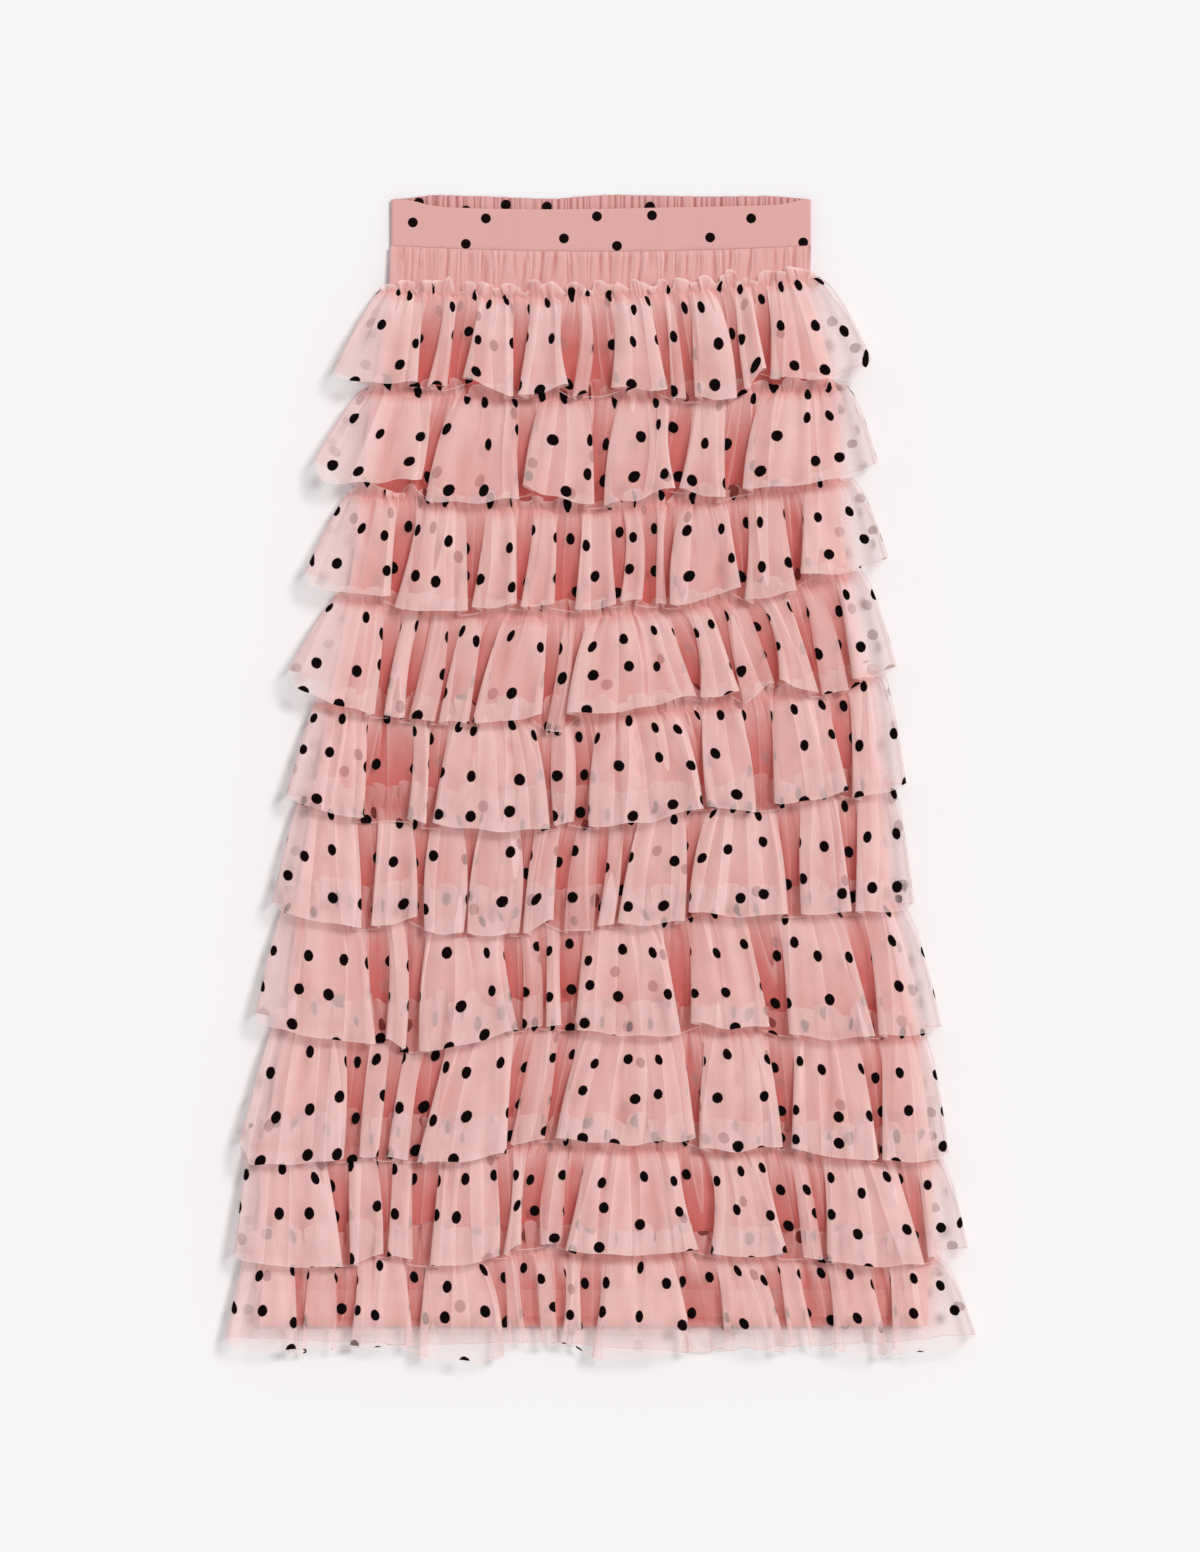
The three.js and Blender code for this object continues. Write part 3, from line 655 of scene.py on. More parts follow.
def back_knots(tier, rows, hem_line):
    """Knots of a back ruffle. A rise of 0 is pressed on the surface, and the valleys between the
    folds stand off it by their own depth."""
    f = place_folds(tier, rows)
    left = hem_line(f["start"]) - f["left"]
    right = hem_line(f["end"]) - f["right"]
    left[0], right[-1] = tier["corner_left_y"], tier["corner_right_y"]
    x = np.stack([f["start"] + BACK_TUCK, f["start"], f["end"], f["end"] - BACK_TUCK], axis=1)
    rise = BACK_VALLEY * f["rise"][:, None] * np.array([1, 0, 0, 1])
    y = np.stack([left, left, right, right], axis=1)
    keep = np.ones(x.shape, dtype=bool)
    keep[0, 0] = keep[-1, 3] = False
    return with_seams(tier, x[keep], rise[keep], y[keep])


def with_seams(tier, x, rise, y):
    """The knots with a side seam added at each end, marked by 1 in the last column."""
    inner = np.stack([x, rise, y, np.zeros(len(x))], axis=1)
    first = [tier["hem_left"], 0, tier["corner_left_y"], 1]
    last = [tier["hem_right"], 0, tier["corner_right_y"], 1]
    return np.vstack([first, inner, last])


def hem_section(knots, seam_drop, columns):
    """The hem as points spaced along the cloth, closer together where the curve turns: x, rise, y,
    how much of the side seam there is, the share of the strip's length, and the length of cloth so
    far. The seam's own height isn't gathered."""
    curve = smooth_path(knots, CURVE_STEPS)
    seam = np.clip(curve[:, 3], 0, 1)
    step = np.hypot(*np.diff(curve[:, :2], axis=0).T)
    in_seam = (seam[1:] + seam[:-1]) / 2 > 0.02
    wall = np.abs(np.diff(seam)) * seam_drop
    cloth = np.concatenate([[0], np.cumsum(np.where(in_seam, wall, step))])
    gathered = np.concatenate([[0], np.cumsum(np.where(in_seam, 0, step))])
    spread = mix(cloth / cloth[-1], np.linspace(0, 1, len(cloth)), TURN_SHARE)
    even = np.linspace(0, 1, columns)
    spaced = [np.interp(even, spread, values) for values in (*curve[:, :3].T, seam, gathered, cloth)]
    x, rise, y, seam, gathered, cloth = spaced
    return x, rise, y, seam, gathered / gathered[-1], cloth


# %% [markdown]
# The sheet is the section carried from the stitch line to the hem. Unevenness makes it cloth and not
# tin: fine gathers that fade within a finger's width of the stitching, wider ones that fade slowly,
# soft ripples that run to the hem, folds that sway, dents that follow no fold, a header frill of
# crinkled net above the stitching, a hem that wavers, and laps, where the net folds sharply over
# itself along one crisp line. The stitching pinches the net, which puffs out a little below it.

# %% The sheet of a ruffle
FRILL = 9.5
SWAY = 3.6
# How much taller the frill is on each tier, where it lies hidden under the hem above
FRILL_MORE = [0, 0, 0.5, 2.5, 5, 9, 12, 12, 16, 13]
# The hem wavers between its folds: mm up and down the skirt, and mm off the surface
HEM_WAVER = (0.9, 1.2)
GATHER_SPREAD = 0.6
FLOOR_EASE = 1.2
CREST_EASE = 0.9
# The sides bow outwards: the power of the share of the way down, left and right
SIDE_BOW = (0.85, 0.7)
PUFF = 2.2
PUFF_REACH = 0.08
STITCH_PINCH = 0.5
STITCH_REACH = 2.5
STITCH_WAVE = 1.3
FRILL_WAVE = 27
FRILL_CURL = 3.2
FRILL_RISE = 2.0
# Each row: mm of strip for one tuck, its depth in mm, and the share of the ruffle where it fades
FRONT_TUCKS = [(13, 1.5, 0.1), (30, 1.9, 0.3), (63, 1.9, 3)]
BACK_TUCKS = [(13, 1.0, 0.1), (31, 1.2, 0.35)]
# The back gathers hang no further than this, in mm, so that they clear the hem they lie behind
HANG_MOST = 1.6
LAP_SPACING = 44
LAP_EDGE = 2.2
CRUMPLE = 0.9
# How many waves make the dents, and the shortest and the longest of them in mm
DENT_WAVES = 8
DENT_LENGTHS = (18, 45)


def laps(cloth, down, seed):
    """Heights of small pleats that lean one way: each rises steeply over its edge and sinks slowly
    behind it, as the edge's smooth step times a fading exponential. Each starts at the stitching at
    its own place, leans a little, and fades out at its own share of the ruffle."""
    draw = np.random.default_rng(seed)
    count = int(cloth[-1] / LAP_SPACING)
    place = (np.arange(count) + draw.uniform(0.1, 0.9, count)) * cloth[-1] / count
    facing = draw.choice([-1.0, 1.0], count)
    height, width = draw.uniform(1.0, 3.0, count), draw.uniform(6, 22, count)
    reach, lean = draw.uniform(0.4, 1.5, count), draw.normal(0, 7, count)
    down = down[..., None]
    ahead = facing * (cloth[None, :, None] - place - lean * down)
    step = np.clip(ahead / LAP_EDGE, 0, 1)
    profile = step**2 * (3 - 2 * step) * np.exp(-np.clip(ahead, 0, None) / width)
    fading = np.exp(-((down / reach) ** 4)) * np.clip(down / 0.05, 0, 1)
    return (height * fading * profile).sum(-1)


def crumple(across, along, seed):
    """Gentle dents that follow no fold: the sum of plane waves of uneven length in any direction."""
    draw = np.random.default_rng(seed)
    turn = draw.uniform(0, np.pi, DENT_WAVES)
    pitch = 2 * np.pi / draw.uniform(*DENT_LENGTHS, DENT_WAVES)
    start = draw.uniform(0, 2 * np.pi, DENT_WAVES)
    place = across[..., None] * np.cos(turn) + along[..., None] * np.sin(turn)
    return np.sin(place * pitch + start).sum(-1) / 4


def ruffle_rows(body_rows, frill_rows):
    """Shares from the top of the frill, as negative numbers, through the stitch line at 0 to the hem
    at 1, closer together near the stitching."""
    frill = -np.linspace(1, 0, frill_rows, endpoint=False)
    body = np.linspace(0, 1, body_rows) ** 1.25
    return np.concatenate([frill, body])[:, None]


def carried(tier, section, rows, seed, frill_more=0):
    """X, Y and how far each point is waved up or down. Across, a point goes from even spacing
    at the stitching to the section's own place, quickly at first. The folds sway a little on the way.
    The frill above is a row of round curls: each is as high as the size of half a sine, and spreads
    over its neighbours by a full sine, one side of it up and the other down."""
    x, _, y, _, share, cloth = section
    down, up = np.clip(rows, 0, 1), np.clip(-rows, 0, 1)
    left = mix(tier["head_left"], tier["hem_left"], down ** SIDE_BOW[0])
    right = mix(tier["head_right"], tier["hem_right"], down ** SIDE_BOW[1])
    at_hem = (x - tier["hem_left"]) / (tier["hem_right"] - tier["hem_left"])
    across = mix(share, at_hem, down**GATHER_SPREAD)
    inside = 4 * across * (1 - across)
    sway = SWAY * np.sin(np.pi * down) * np.sin(np.pi * across) * wander(share, 9, seed)
    turns = (cloth[-1] / FRILL_WAVE) * share + 0.45 * wander(share, 12, seed + 5)
    curl = -FRILL_CURL * up * np.sin(2 * np.pi * turns) * np.clip(inside * 20, 0, 1)
    out_x = mix(left, right, across) + sway + curl
    lobes = 0.4 + 0.8 * np.abs(np.sin(np.pi * turns)) ** 0.7
    edge = lobes * (1 + 0.4 * wander(share, 14, seed + 6)) * np.clip(8 * inside, 0.2, 1)
    waver = STITCH_WAVE * wander(share, 30, seed + 9) * (1 - down)
    out_y = mix(head_y(tier, share), y, down) + waver + up * (frill_more + FRILL * edge)
    near_hem = np.clip((down - 0.75) / 0.25, 0, 1) ** 2 * np.clip(8 * inside, 0, 1)
    out_y = out_y + HEM_WAVER[0] * near_hem * wander(share, 20, seed + 11)
    wave = FRILL_RISE * up * np.sin(2 * np.pi * turns) * np.clip(3 * wander(share, 10, seed + 4), -1, 1)
    wave = wave + HEM_WAVER[1] * near_hem * (1 + wander(share, 22, seed + 12))
    return out_x, out_y, wave


def front_ruffle(number, body_rows, frill_rows, columns):
    """Heights of a front ruffle: the layer's own height, plus what the tier below holds it off, plus
    the fold's rise, both growing towards the hem, plus puff and tucks, less the stitching's pinch."""
    tier, seed = tier_row(number), 100 + 10 * number
    knots = front_knots(tier, FRONT_FOLDS[number])
    section = hem_section(knots, tier["floor"] + SEAM_DROP, columns)
    _, rise, _, seam, share, cloth = section
    rows = ruffle_rows(body_rows, frill_rows)
    down, up = np.clip(rows, 0, 1), np.clip(-rows, 0, 1)
    out_x, out_y, wave = carried(tier, section, rows, seed, FRILL_MORE[number])
    lift = tier["floor"] * down**FLOOR_EASE + rise * down**CREST_EASE + 2 * up
    puff = PUFF * (1 - np.exp(-down / PUFF_REACH)) * (1 - 0.6 * down)
    from_stitch = np.abs(out_y - head_y(tier, share) - STITCH_WAVE * wander(share, 30, seed + 9))
    pinch = STITCH_PINCH * np.exp(-((from_stitch / STITCH_REACH) ** 2))
    tucks = sum(
        gathers(share, cloth[-1] / length, depth, seed + i) * np.exp(-down / fade)
        for i, (length, depth, fade) in enumerate(FRONT_TUCKS)
    )
    dents = CRUMPLE * (1 + crumple(out_x, out_y, seed + 7)) * np.clip(down / 0.2, 0, 1)
    folded = laps(cloth, down, seed + 8)
    z = layer_height(FRONT_TIER, out_y) + lift + puff + tucks + wave - pinch + folded + dents
    z = mix(z, SIDE_SEAM_HEIGHT, seam)
    points = np.stack(np.broadcast_arrays(out_x, out_y, z), axis=-1)
    return tier, points, section, rows


def back_ruffle(number, body_rows, frill_rows, columns):
    """Heights of a back ruffle: from its layer at the stitching down to the surface by the middle,
    where its folds lie pressed flat and its valleys stand off it. Its gathers hang outwards, but by
    a hyperbolic tangent never so far that they reach the valleys of the hem they lie behind."""
    tier, seed = tier_row(number), 500 + 10 * number
    shift = (2 * number) % len(BACK_FOLDS)
    rows_here = BACK_FOLDS[shift:] + BACK_FOLDS[:shift]
    last = number == TIER_COUNT - 1

    def hem_line(at):
        across = (at - tier["hem_left"]) / (tier["hem_right"] - tier["hem_left"])
        return tier["hem_y"] + 0 * at if last else head_y(tier_row(number + 1), across) - BACK_OVERLAP

    section = hem_section(back_knots(tier, rows_here, hem_line), SEAM_DROP, columns)
    _, rise, _, seam, share, cloth = section
    rows = ruffle_rows(body_rows, frill_rows)
    down, up = np.clip(rows, 0, 1), np.clip(-rows, 0, 1)
    out_x, out_y, wave = carried(tier, section, rows, seed)
    pressed = np.clip(down / 0.5, 0, 1)
    pressed = pressed**2 * (3 - 2 * pressed)
    tucks = sum(
        gathers(share, cloth[-1] / length, depth, seed + i) * np.exp(-down / fade)
        for i, (length, depth, fade) in enumerate(BACK_TUCKS)
    )
    drop = HANG_MOST * np.tanh((tucks + 1.5 * up - 0.5 * wave) / HANG_MOST)
    hanging = layer_height(BACK_TIER, out_y) - drop
    z = mix(hanging, 0.5 + rise + 0.3 * tucks, pressed)
    z = mix(np.maximum(z, 0.3), SIDE_SEAM_HEIGHT, seam)
    points = np.stack(np.broadcast_arrays(out_x, out_y, z), axis=-1)
    return tier, points, section, rows


# %% [markdown]
# With the points known, the rest follows from the cloth itself. Cloth metres across are the strip's
# own length, and cloth metres down are the tier's real height, so dots are round at the hem and
# narrow where the strip is gathered up. The cover is how much longer the strip is than the place it
# fills, and it grows again on the steep sides of folds, where the net is seen edge on.

# %% What the net's material asks for
# Each strip is cut from its own place in the cloth, so that the dots differ from tier to tier: mm
# across and down for each tier, mm across for the back, and mm down for all of them
TIER_SHIFT = (371, -113)
BACK_SHIFT = 190
START_SHIFT = 12
# Net is 1 level where it lies flat and 0 where it stands upright. Below the first level it begins to
# show as turned on edge, and so much lower it does so fully
TURNED_FROM = 0.72
TURNED_OVER = 0.4
# Where a fold rises less than this, in mm, the net is in a valley, painted a deeper coral as painted
# shade, and covers less by this share
VALLEY_LIGHT = 8
VALLEY_CLEAR = 0.5
# A crease is painted with the valley's coral as painted shade from this depth on, in mm, and fully so
# this much deeper
CREASE_FROM = 0.4
CREASE_DEEP = 2
# A crease is measured against this many columns to each side
CREASE_REACH = 9
# It does so by the first share everywhere, and by the second more at the stitching, which fades over
# the third, a share of the way to the hem: more painted shade under the layer above
CREASE_SHADE = (0.4, 0.45, 0.22)
# How soon net that turns back under a fold loses the valley's painted shade
TUCK_SHARPNESS = 3
# How many times over the net lies at the stitching, at most, and in the frill
MOST_GATHERED = 1.9
FRILL_COVER = 1.5
# Seen edge on, the net covers more, by up to this many times
STEEP_COVER = 1.6
# The borders of the open parts are soft, in mm: beside the base skirt and below the lining, and
# between these two at the corners
OPEN_SOFT = 12
CORNER_SOFT = 20
# The back ruffle's dots are glued to its far side, so they show paler through the net
FAR_DOTS = 0.45
# Beyond the base skirt nothing holds the layers together, so light gets between them: left and
# right, and below the lining
OPEN_CLEAR = (0.6, 0.2)
HEM_CLEAR = 0.3


def ruffle_fields(points, section, rows, tier, number, side):
    """The UV map in mm of cloth, shifted for each strip, and what the net's material asks for: how
    many times the net lies over itself, how much it turns on edge, how deep in a valley it is, and
    how far it is from a raw edge."""
    cloth = section[5]
    drop = np.abs(np.gradient(points[..., 1], axis=0)).mean(axis=1).cumsum()
    start = drop[np.argmin(np.abs(rows))]
    u = np.broadcast_to(cloth, points.shape[:2]) + TIER_SHIFT[0] * number + BACK_SHIFT * side
    v = np.broadcast_to((start - drop)[:, None], points.shape[:2])
    v = v + TIER_SHIFT[1] * number + START_SHIFT
    gathered = min(cloth[-1] / (tier["head_right"] - tier["head_left"]), MOST_GATHERED)
    down = np.clip(rows, 0, 1)
    level = how_level(points)
    inner = 1 - section[3]
    turned = np.clip((TURNED_FROM - level) / TURNED_OVER, 0, 1) * inner
    # Valleys and creases are painted a deeper coral as painted shade, more so near the stitching
    between = np.clip(1 - section[1] / VALLEY_LIGHT, 0, 1) * down**0.5
    going_right = np.gradient(points[..., 0], axis=1) / np.gradient(cloth)
    tucked_under = np.clip(-TUCK_SHARPNESS * going_right, 0, 1)
    creased = np.clip((hollow(points, CREASE_REACH) - CREASE_FROM) / CREASE_DEEP, 0, 1)
    creased = creased * (CREASE_SHADE[0] + CREASE_SHADE[1] * np.exp(-down / CREASE_SHADE[2]))
    valley = np.clip(between + creased, 0, 1) * (1 - tucked_under) * inner * (side == 0)
    cover = mix(gathered, 1, down**GATHER_SPREAD) * np.clip(1 / np.maximum(level, 0.5), 1, STEEP_COVER)
    cover = mix(cover, FRILL_COVER, np.clip(-4 * rows, 0, 1))
    left, right = base_edges(points[..., 1])
    beside = np.maximum(left - points[..., 0], points[..., 0] - right)
    below = LINING_BOTTOM - points[..., 1]
    open_share = np.clip(np.maximum(beside, below) / OPEN_SOFT + 0.5, 0, 1)
    at_hem = np.clip((below - beside) / CORNER_SOFT + 0.5, 0, 1)
    clear = mix(np.where(points[..., 0] < 0, *OPEN_CLEAR), HEM_CLEAR, at_hem)
    cover = cover * (1 - VALLEY_CLEAR * valley) * mix(1, clear, open_share)
    valley = valley * (1 - open_share)
    from_edge = np.minimum(drop - drop[0], drop[-1] - drop)[:, None] + 0 * u
    from_stitch = np.abs(drop - start)[:, None] + 0 * u
    fields = [("cover", cover), ("turned", turned), ("valley", valley), ("open", open_share)]
    fields += [("far", FAR_DOTS * side * open_share)]
    fields += [("from_edge", from_edge * MM), ("from_stitch", from_stitch * MM)]
    return np.stack([u, v], axis=-1), fields


# %% Make the twenty ruffles
# Rows of the body, rows of the frill and columns. The back lies hidden, so it has fewer
FRONT_GRID = (33, 6, 880)
BACK_GRID = (16, 3, 280)
ruffles = []
for number in range(TIER_COUNT):
    for side, make, grid, outward in (
        (0, front_ruffle, FRONT_GRID, 1),
        (1, back_ruffle, BACK_GRID, -1),
    ):
        tier, points, section, rows = make(number, *grid)
        cloth_uv, fields = ruffle_fields(points, section, rows, tier, number, side)
        word = ("front", "back")[side]
        piece = add_sheet(f"ruffle_{number + 1:02d}_{word}", points, cloth_uv, TULLE, outward, fields)
        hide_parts(f"tier_{number + 1:02d}_{word}")
        length = section[5][-1] * MM
        depth = np.ptp(points[..., 1].mean(axis=1)) * MM
        ruffles.append((piece, length, depth, f"foundation_{word}"))

# %% [markdown]
# Under the ruffles hang two plain panels for each side, the base skirt and the lining. Only the top
# of the base shows, as a yoke with fine gathers below the waistband, and the lining shows as a deeper
# pink at the hem. Both are grids whose edges follow the side seams, and whose sides turn in to meet.

# %% The base skirt and the lining
YOKE_DEPTH = 45
# How far the front band's top edge dips, in mm, at a share of its width
FRONT_DIP = np.array([
    [0, 0], [0.03, 0.3], [0.06, 2], [0.09, 5], [0.13, 6.6], [0.22, 7.9], [0.34, 8.6],
    [0.5, 8.1], [0.7, 6.6], [0.86, 5.4], [0.92, 4.8], [0.95, 3], [0.975, 0.7], [1, 0],
])
# Each row: how many tucks across, their depth in mm, and how far they stray from even spacing
YOKE_TUCKS = [(23, 2.3, 3.2), (47, 1.7, 2.6), (12, 1.2, 2)]
BACK_YOKE_TUCKS = [(25, 0.7, 2), (46, 0.4, 2)]
# The lining's sides lie this far inside the base skirt's, in mm
LINING_INSET = 3
# Rows of the yoke and below it, and columns. The lining has no tucks, so it needs fewer
YOKE_ROWS = 28
LOWER_ROWS = 24
BASE_COLUMNS = 420
LINING_COLUMNS = 90
YOKE_TUCKS_LEFT = 0.2
YOKE_SEAM_FLAT = 0.4
YOKE_FULL = 36
YOKE_CREASE_SHADE = 0.9
UNDER_SHADE_FADE = 12
SIDE_WAVE = 2.5
SIDE_FADE = 16
TURNED_HEM = 7
SIDE_TURN = 9
# The side edges wave and show from the band down, fully from this far below it, in mm
SIDE_FULL = 100
# As on the ruffles: net counts as turned below the first level, fully the second lower
YOKE_TURNED_FROM = 0.9
YOKE_TURNED_OVER = 0.35
# The yoke's creases fade out over these last mm
YOKE_END = 8


def band_top(share):
    """The front band's upper edge: level with the back one at its ends, and dipping soon after them."""
    return BAND_TOP - np.interp(share, FRONT_DIP[:, 0], FRONT_DIP[:, 1])


def band_bottom(share):
    """The band's lower edge: level at its ends, with a parabola's bow between them."""
    return BAND_BOTTOM - 4 * share * (1 - share) * BAND_BOW


def skirt_panel(layer, bottom, inset, tucks, outward, columns):
    """A grid from the band to the bottom. Its height is the layer's, plus tucks that fade below the
    yoke, and its two sides turn to the height of the side seam."""
    share = np.linspace(0, 1, columns)[None, :]
    yoke = np.linspace(0, YOKE_DEPTH, YOKE_ROWS)
    hem_top = BAND_BOTTOM - bottom - TURNED_HEM
    below = np.linspace(YOKE_DEPTH, hem_top - 1, LOWER_ROWS)[1:]
    fall = np.concatenate([yoke, below, [hem_top, hem_top + TURNED_HEM]])[:, None]
    y = BAND_BOTTOM - fall + (band_bottom(share) - BAND_BOTTOM) * np.clip(1 - fall / YOKE_DEPTH, 0, 1)
    left, right = base_edges(y)
    below_band = np.clip(fall / SIDE_FULL, 0, 1)
    waving = SIDE_WAVE * below_band
    left = left + waving * (1 + wander(fall / 900, 9, 91))
    right = right - waving * (1 + wander(fall / 900, 9, 92))
    x = mix(left + inset, right - inset, share)
    fading = mix(1, YOKE_TUCKS_LEFT, np.clip(fall / YOKE_FULL, 0, 1) ** 1.5)
    fading = fading * mix(YOKE_SEAM_FLAT, 1, np.clip(fall / 5, 0, 1))
    fading = fading * np.exp(-np.clip(fall - YOKE_DEPTH, 0, None) / 20)
    raised = 0 * x
    for i, (waves, depth, stray) in enumerate(tucks):
        lean = 0.012 * wander(share, 7, 60 + i) * fall / YOKE_DEPTH
        raised = raised + fading * gathers(share + lean, waves, depth, 40 + i, stray)
    z = layer_height(layer, y) + outward * raised
    to_side = np.minimum(x - left, right - x)
    turned = np.clip(1 - to_side / SIDE_TURN, 0, 1) ** 3
    at_seam = np.minimum(z, SIDE_SEAM_HEIGHT) if outward > 0 else np.maximum(z, SIDE_SEAM_HEIGHT)
    z = mix(z, at_seam, turned)
    points = np.stack(np.broadcast_arrays(x, y, z), axis=-1)
    cloth_uv = np.stack([x, y + 0 * x], axis=-1)
    yoke_only = np.clip((YOKE_DEPTH - fall) / YOKE_END, 0, 1)
    level = how_level(points)
    # Painted shade and highlight: the yoke's creases darker and its on-edge folds paler, and all below
    # the first stitch line a deeper coral, painted shade of the ruffles over it; the sides paler
    fields = [
        ("turned", np.clip((YOKE_TURNED_FROM - level) / YOKE_TURNED_OVER, 0, 1) * yoke_only),
        ("hollow", np.clip(hollow(points, 7) / YOKE_CREASE_SHADE, 0, 1) * yoke_only),
        ("under", np.clip((head_y(tier_row(0), share) - y) / UNDER_SHADE_FADE, 0, 1) + 0 * x),
        ("side", np.clip(1 - to_side / SIDE_FADE, 0, 1) * below_band),
        ("turned_hem", np.clip(TURNED_HEM + 1 - (y - bottom), 0, 1) + 0 * x),
    ]
    return points, cloth_uv, fields


panels = []
for slot, name, heights, bottom, inset, tucks, material, columns in (
    ("foundation", "base", (FRONT_BASE, BACK_BASE), BASE_BOTTOM, 0,
     (YOKE_TUCKS, BACK_YOKE_TUCKS), BASE_MESH, BASE_COLUMNS),
    ("lining", "lining_skirt", (FRONT_LINING, BACK_LINING), LINING_BOTTOM, LINING_INSET,
     ([], []), LINING_CLOTH, LINING_COLUMNS),
):
    for side, word, outward in ((0, "front", 1), (1, "back", -1)):
        points, cloth_uv, fields = skirt_panel(
            heights[side], bottom, inset, tucks[side], outward, columns
        )
        piece = add_sheet(f"{name}_{word}", points, cloth_uv, material, outward, fields)
        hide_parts(f"{slot}_{word}")
        panels.append((piece, points))
        print(f"{piece.name}: {surface_area(points):.4f} m2 of cloth")

# %% [markdown]
# The waistband is smooth in front: a strip folded over its facing, so it is thicker than the skirt
# and its edges are round. Behind, the same strip holds a wide elastic, which draws it into fine
# upright ruches, and its top edge shows above the front one.

# %% The waistband
BAND_SQUARENESS = 0.28
# The ruches: how many, their depth in mm, and how far they stray from even spacing
RUCHES = 50
RUCHE_DEPTH = 1.7
RUCHE_STRAY = 3.5
# Columns along the front sleeve and points around it, and columns and rows of the back strip
SLEEVE_GRID = (260, 57)
BACK_STRIP_GRID = (520, 16)
# The back strip's is assumed, from before the elastic drew it in
# How far the back band's top edge dips, in mm, at a share of its width
BACK_DIP = np.array([
    [0, 4.2], [0.04, 3.4], [0.1, 0.6], [0.21, 1.7], [0.3, 3], [0.39, 4],
    [0.45, 2], [0.52, 0.3], [0.73, 2], [0.91, 1.5], [0.97, 3.4], [1, 4.6],
])


def round_power(value, power):
    """value raised to a power by its size, with its own sign."""
    return np.sign(value) * np.abs(value) ** power


def band_swell(share):
    """Unevenness of the front band's height along its length, in mm: a slow and a quick wander."""
    return 0.25 * wander(share, 5, 71) + 0.12 * wander(share, 17, 72)


def band_front_points(columns, around):
    """A closed sleeve: its section is a superellipse, as tall as the band and as thick as the folded
    cloth, that thins to nothing at the two ends."""
    share = np.linspace(0, 1, columns)[None, :]
    angle = np.linspace(0, 2 * np.pi, around)[:, None]
    top, low = band_top(share), band_bottom(share)
    to_end = np.minimum(share, 1 - share) * 2 * BAND_HALF_WIDTH
    thin = np.sqrt(np.clip(1 - (1 - np.clip(to_end / 2, 0, 1)) ** 2, 0.0004, 1))
    x = mix(-BAND_HALF_WIDTH, BAND_HALF_WIDTH, share) + 0 * angle
    y = (top + low) / 2 + (top - low) / 2 * round_power(np.cos(angle), BAND_SQUARENESS)
    z = FRONT_BAND_HEIGHT + band_swell(share) * thin
    z = z + BAND_THICKNESS / 2 * thin * round_power(np.sin(angle), BAND_SQUARENESS)
    return np.stack(np.broadcast_arrays(x, y, z), axis=-1)


def band_back_points(columns, rows):
    """A sheet from the band's top to its bottom that is gathered by the elastic, with sharp creases
    between flat ruches. Its top edge steps in and out with them."""
    share = np.linspace(0, 1, columns)[None, :]
    fall = np.linspace(0, 1, rows)[:, None]
    lean = 0.002 * wander(share, 20, 83) * fall
    ruched = gathers(share + lean, RUCHES, RUCHE_DEPTH, 81, RUCHE_STRAY)
    top = BACK_BAND_TOP - 0.6 - np.interp(share, BACK_DIP[:, 0], BACK_DIP[:, 1]) + 0.3 * ruched
    y = mix(top, band_bottom(share), fall)
    z = BACK_BAND_HEIGHT - 0.9 + ruched
    x = mix(-BAND_HALF_WIDTH, BAND_HALF_WIDTH, share) + 0 * fall
    return np.stack(np.broadcast_arrays(x, y, z), axis=-1)


band_front_grid = band_front_points(*SLEEVE_GRID)
mid_column = band_front_grid[:, SLEEVE_GRID[0] // 2]
around_band = np.linalg.norm(np.diff(mid_column, axis=0), axis=1).cumsum()
around_uv = np.concatenate([[0], around_band])[:, None] + 0 * band_front_grid[..., 0]
band_front = add_sheet(
    "band_front",
    band_front_grid,
    np.stack([band_front_grid[..., 0], around_uv], axis=-1),
    BAND_CLOTH,
    -1,
)
band_back_grid = band_back_points(*BACK_STRIP_GRID)
# The creases between the ruches are painted darker as painted shade
band_crease_shade = np.clip(hollow(band_back_grid, 5) / 0.5, 0, 1)
band_back = add_sheet(
    "band_back", band_back_grid, band_back_grid[..., :2], BAND_CLOTH, 1, [("hollow", band_crease_shade)]
)
for piece, node in ((band_front, "waistband_front"), (band_back, "waistband_back")):
    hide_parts(node)
print("waistband faces:", len(band_front.data.polygons), len(band_back.data.polygons))

# %% [markdown]
# The band's dots are few, so each is its own low pad of flock, placed one by one where the garment has
# it. A pad is a round dome that follows the cloth it is glued to.

# %% Dots of flock on the waistband
# Each row: the dot's middle across and up the garment, in mm
FRONT_DOTS = np.array([
    [-157.9, 464.5], [-96.6, 467.9], [-113.4, 446.5], [-31.1, 451.1], [-3.4, 469.6],
    [13.4, 444.8], [42.8, 470.4], [91.6, 451.9], [126, 467.9], [169.7, 447.7],
])
BACK_DOTS = np.array([
    [-152.9, 481.5], [-113.4, 474.8], [-79.8, 479.8], [-45.4, 478.1], [41.2, 478.1],
])
# The back band's outside lies face down and isn't seen, so its dots are the front's, turned about
OUTER_DOTS = FRONT_DOTS * [-1, 1] + [6, 3]
FLOCK_HEIGHT = 0.5
PAD_RADIUS = 4.2
PAD_RINGS = 6
PAD_SPOKES = 24
# Heights of the back band's two faces under the dots, in mm
INNER_FACE = BACK_BAND_HEIGHT + 1.1
OUTER_FACE = 0.85


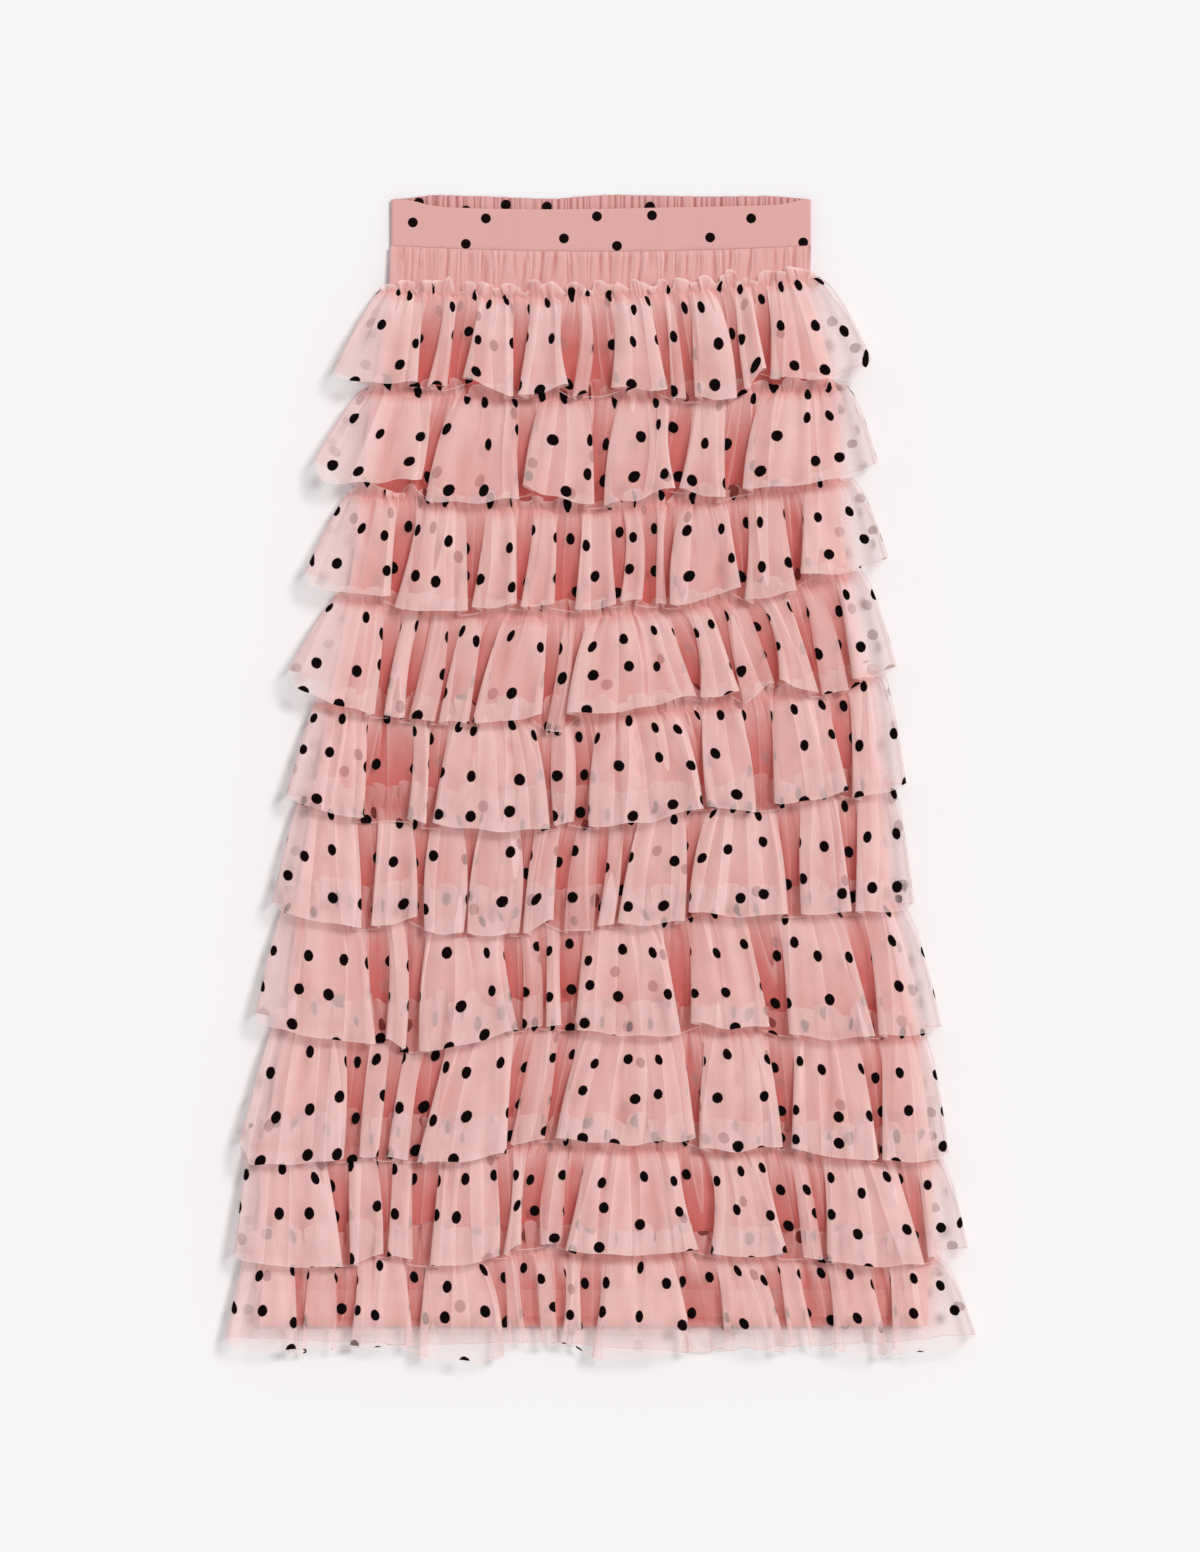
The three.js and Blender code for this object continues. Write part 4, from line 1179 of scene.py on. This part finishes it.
def flock_material():
    """Flocked fibre: near black, fully matt, with the soft edge glow that short upright fibres give."""
    material, tree = new_material("black_flock")
    place = add_node(tree, "ShaderNodeTexCoord").outputs["Object"]
    grain = {"Vector": place, "Scale": 1 / (0.5 * MM), "Detail": 2.0}
    fibres = add_node(tree, "ShaderNodeTexNoise", grain)
    colour = add_node(
        tree,
        "ShaderNodeMix",
        {"Factor": fibres.outputs["Fac"], "A": linear("#090303"), "B": linear("#1A0D0C")},
        data_type="RGBA",
    ).outputs[2]
    height = add_node(
        tree, "ShaderNodeMath", {0: fibres.outputs["Fac"], 1: 0.2 * MM}, operation="MULTIPLY"
    )
    bump = add_node(tree, "ShaderNodeBump", {"Height": height.outputs[0], "Distance": 1.0})
    finish_material(
        tree,
        {
            "Base Color": colour,
            "Roughness": 0.95,
            "Specular IOR Level": 0.05,
            "Sheen Weight": 0.04,
            "Normal": bump.outputs["Normal"],
        },
    )
    return material


FLOCK = flock_material()


def band_surface(x, y):
    """Height of the front band's face at a place: the superellipse of its section."""
    share = (x + BAND_HALF_WIDTH) / (2 * BAND_HALF_WIDTH)
    top, low = band_top(share), band_bottom(share)
    out = np.clip(np.abs(2 * y - top - low) / (top - low), 0, 1)
    rim = np.clip(1 - out ** (2 / BAND_SQUARENESS), 0, 1) ** (BAND_SQUARENESS / 2)
    return FRONT_BAND_HEIGHT + band_swell(share) + BAND_THICKNESS / 2 * rim


def flock_pads(name, middles, surface, lowest=None, outward=1):
    """Domes, each a fan of rings about its middle: their height above the cloth falls off as one less
    the square of the distance. outward is 1 where they stand up and -1 where they hang down."""
    reach = np.linspace(0.02, 1, PAD_RINGS)[None, :, None]
    angle = np.linspace(0, 2 * np.pi, PAD_SPOKES, endpoint=False)[None, None, :]
    x = middles[:, 0, None, None] + PAD_RADIUS * reach * np.cos(angle)
    y = middles[:, 1, None, None] + PAD_RADIUS * reach * np.sin(angle)
    if lowest is not None:
        y = np.maximum(y, lowest(x) + 0.4)
    z = surface(x, y) + outward * (FLOCK_HEIGHT * (1 - reach**2) + 0.05)
    points = np.stack(np.broadcast_arrays(x, y, z), axis=-1)
    dots, rings, spokes = points.shape[:3]
    index = np.arange(dots * rings * spokes).reshape(dots, rings, spokes)
    turned = np.roll(index, -1, axis=2)
    corners = [index[:, :-1], index[:, 1:], turned[:, 1:], turned[:, :-1]]
    quads = np.stack(corners, axis=-1).reshape(-1, 4)[:, ::outward]
    caps = index[:, 0, ::outward].tolist()
    mesh = bpy.data.meshes.new(name)
    mesh.from_pydata((points.reshape(-1, 3) * MM).tolist(), [], quads.tolist() + caps)
    mesh.shade_smooth()
    mesh.materials.append(FLOCK)
    piece = bpy.data.objects.new(name, mesh)
    bpy.context.scene.collection.objects.link(piece)
    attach(piece, ROOT)
    return piece


def low_edge(x):
    """The front band's lower edge under a place."""
    return band_bottom((x + BAND_HALF_WIDTH) / (2 * BAND_HALF_WIDTH))


front_pads = flock_pads("band_front_dots", FRONT_DOTS, band_surface, low_edge)
back_pads = flock_pads("band_back_dots", BACK_DOTS, lambda x, y: INNER_FACE + 0 * x)
outer_pads = flock_pads(
    "band_outer_dots", OUTER_DOTS, lambda x, y: OUTER_FACE + 0 * x, outward=-1
)
print("flock pads:", len(FRONT_DOTS) + len(BACK_DOTS) + len(OUTER_DOTS))

# %% [markdown]
# The picture is a plain studio one: a pale floor, even light from all around, and one broad key light
# from the upper right, which lays a soft shadow along the skirt's left side and hem. The camera looks
# straight down from six metres, so that nothing leans outwards.

# %% Floor, light and camera
FLOOR_SIZE = 6
PIXEL = 0.84 * MM
PICTURE_PIXELS = (1200, 1552)
PICTURE_MIDDLE = (-0.84 * MM, 0)
CAMERA_HEIGHT = 6
SENSOR = 36
AMBIENT = 0.52
KEY = 1.75
KEY_TILT = np.radians(28)
KEY_TURN = np.radians(130)
KEY_SOFTNESS = np.radians(13)

floor_mesh = bpy.data.meshes.new("studio_floor")
half = FLOOR_SIZE / 2
floor_corners = [(-half, -half, 0), (half, -half, 0), (half, half, 0), (-half, half, 0)]
floor_mesh.from_pydata(floor_corners, [], [(0, 1, 2, 3)])
paper, paper_tree = new_material("studio_paper")
paper_look = {"Base Color": linear("#F6F4F5"), "Roughness": 0.95, "Specular IOR Level": 0.0}
finish_material(paper_tree, paper_look)
floor_mesh.materials.append(paper)
floor = bpy.data.objects.new("studio_floor", floor_mesh)
bpy.context.scene.collection.objects.link(floor)

world = bpy.data.worlds.new("studio_air")
world.use_nodes = True
world.node_tree.nodes["Background"].inputs["Color"].default_value = (1, 1, 1, 1)
world.node_tree.nodes["Background"].inputs["Strength"].default_value = AMBIENT
bpy.context.scene.world = world

key_data = bpy.data.lights.new("key_light", "SUN")
key_data.energy = KEY
key_data.angle = KEY_SOFTNESS
key = bpy.data.objects.new("key_light", key_data)
key.rotation_euler = (KEY_TILT, 0, KEY_TURN)
bpy.context.scene.collection.objects.link(key)

camera_data = bpy.data.cameras.new("camera")
camera_data.sensor_width = SENSOR
camera_data.lens = SENSOR * CAMERA_HEIGHT / (PICTURE_PIXELS[1] * PIXEL)
camera_data.clip_end = 100
camera = bpy.data.objects.new("camera", camera_data)
camera.location = (*PICTURE_MIDDLE, CAMERA_HEIGHT)
bpy.context.scene.collection.objects.link(camera)
bpy.context.scene.camera = camera
print("lens:", round(camera_data.lens, 1), "mm")

# Several sheets of net lie behind each other, so light is let through more of them than usual
scene = bpy.context.scene
scene.cycles.transparent_max_bounces = 24
scene.view_settings.view_transform = "Standard"

# %% [markdown]
# Last, the triangles of all the shown pieces are counted.

for piece, points in panels:
    depth = np.ptp(points[..., 1]) * MM

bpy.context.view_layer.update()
shown = [piece for piece, *_ in ruffles] + [piece for piece, _ in panels]
shown += [band_front, band_back, front_pads, back_pads, outer_pads]
triangles = sum(len(piece.data.loops) - 2 * len(piece.data.polygons) for piece in shown)
print("triangles:", triangles)
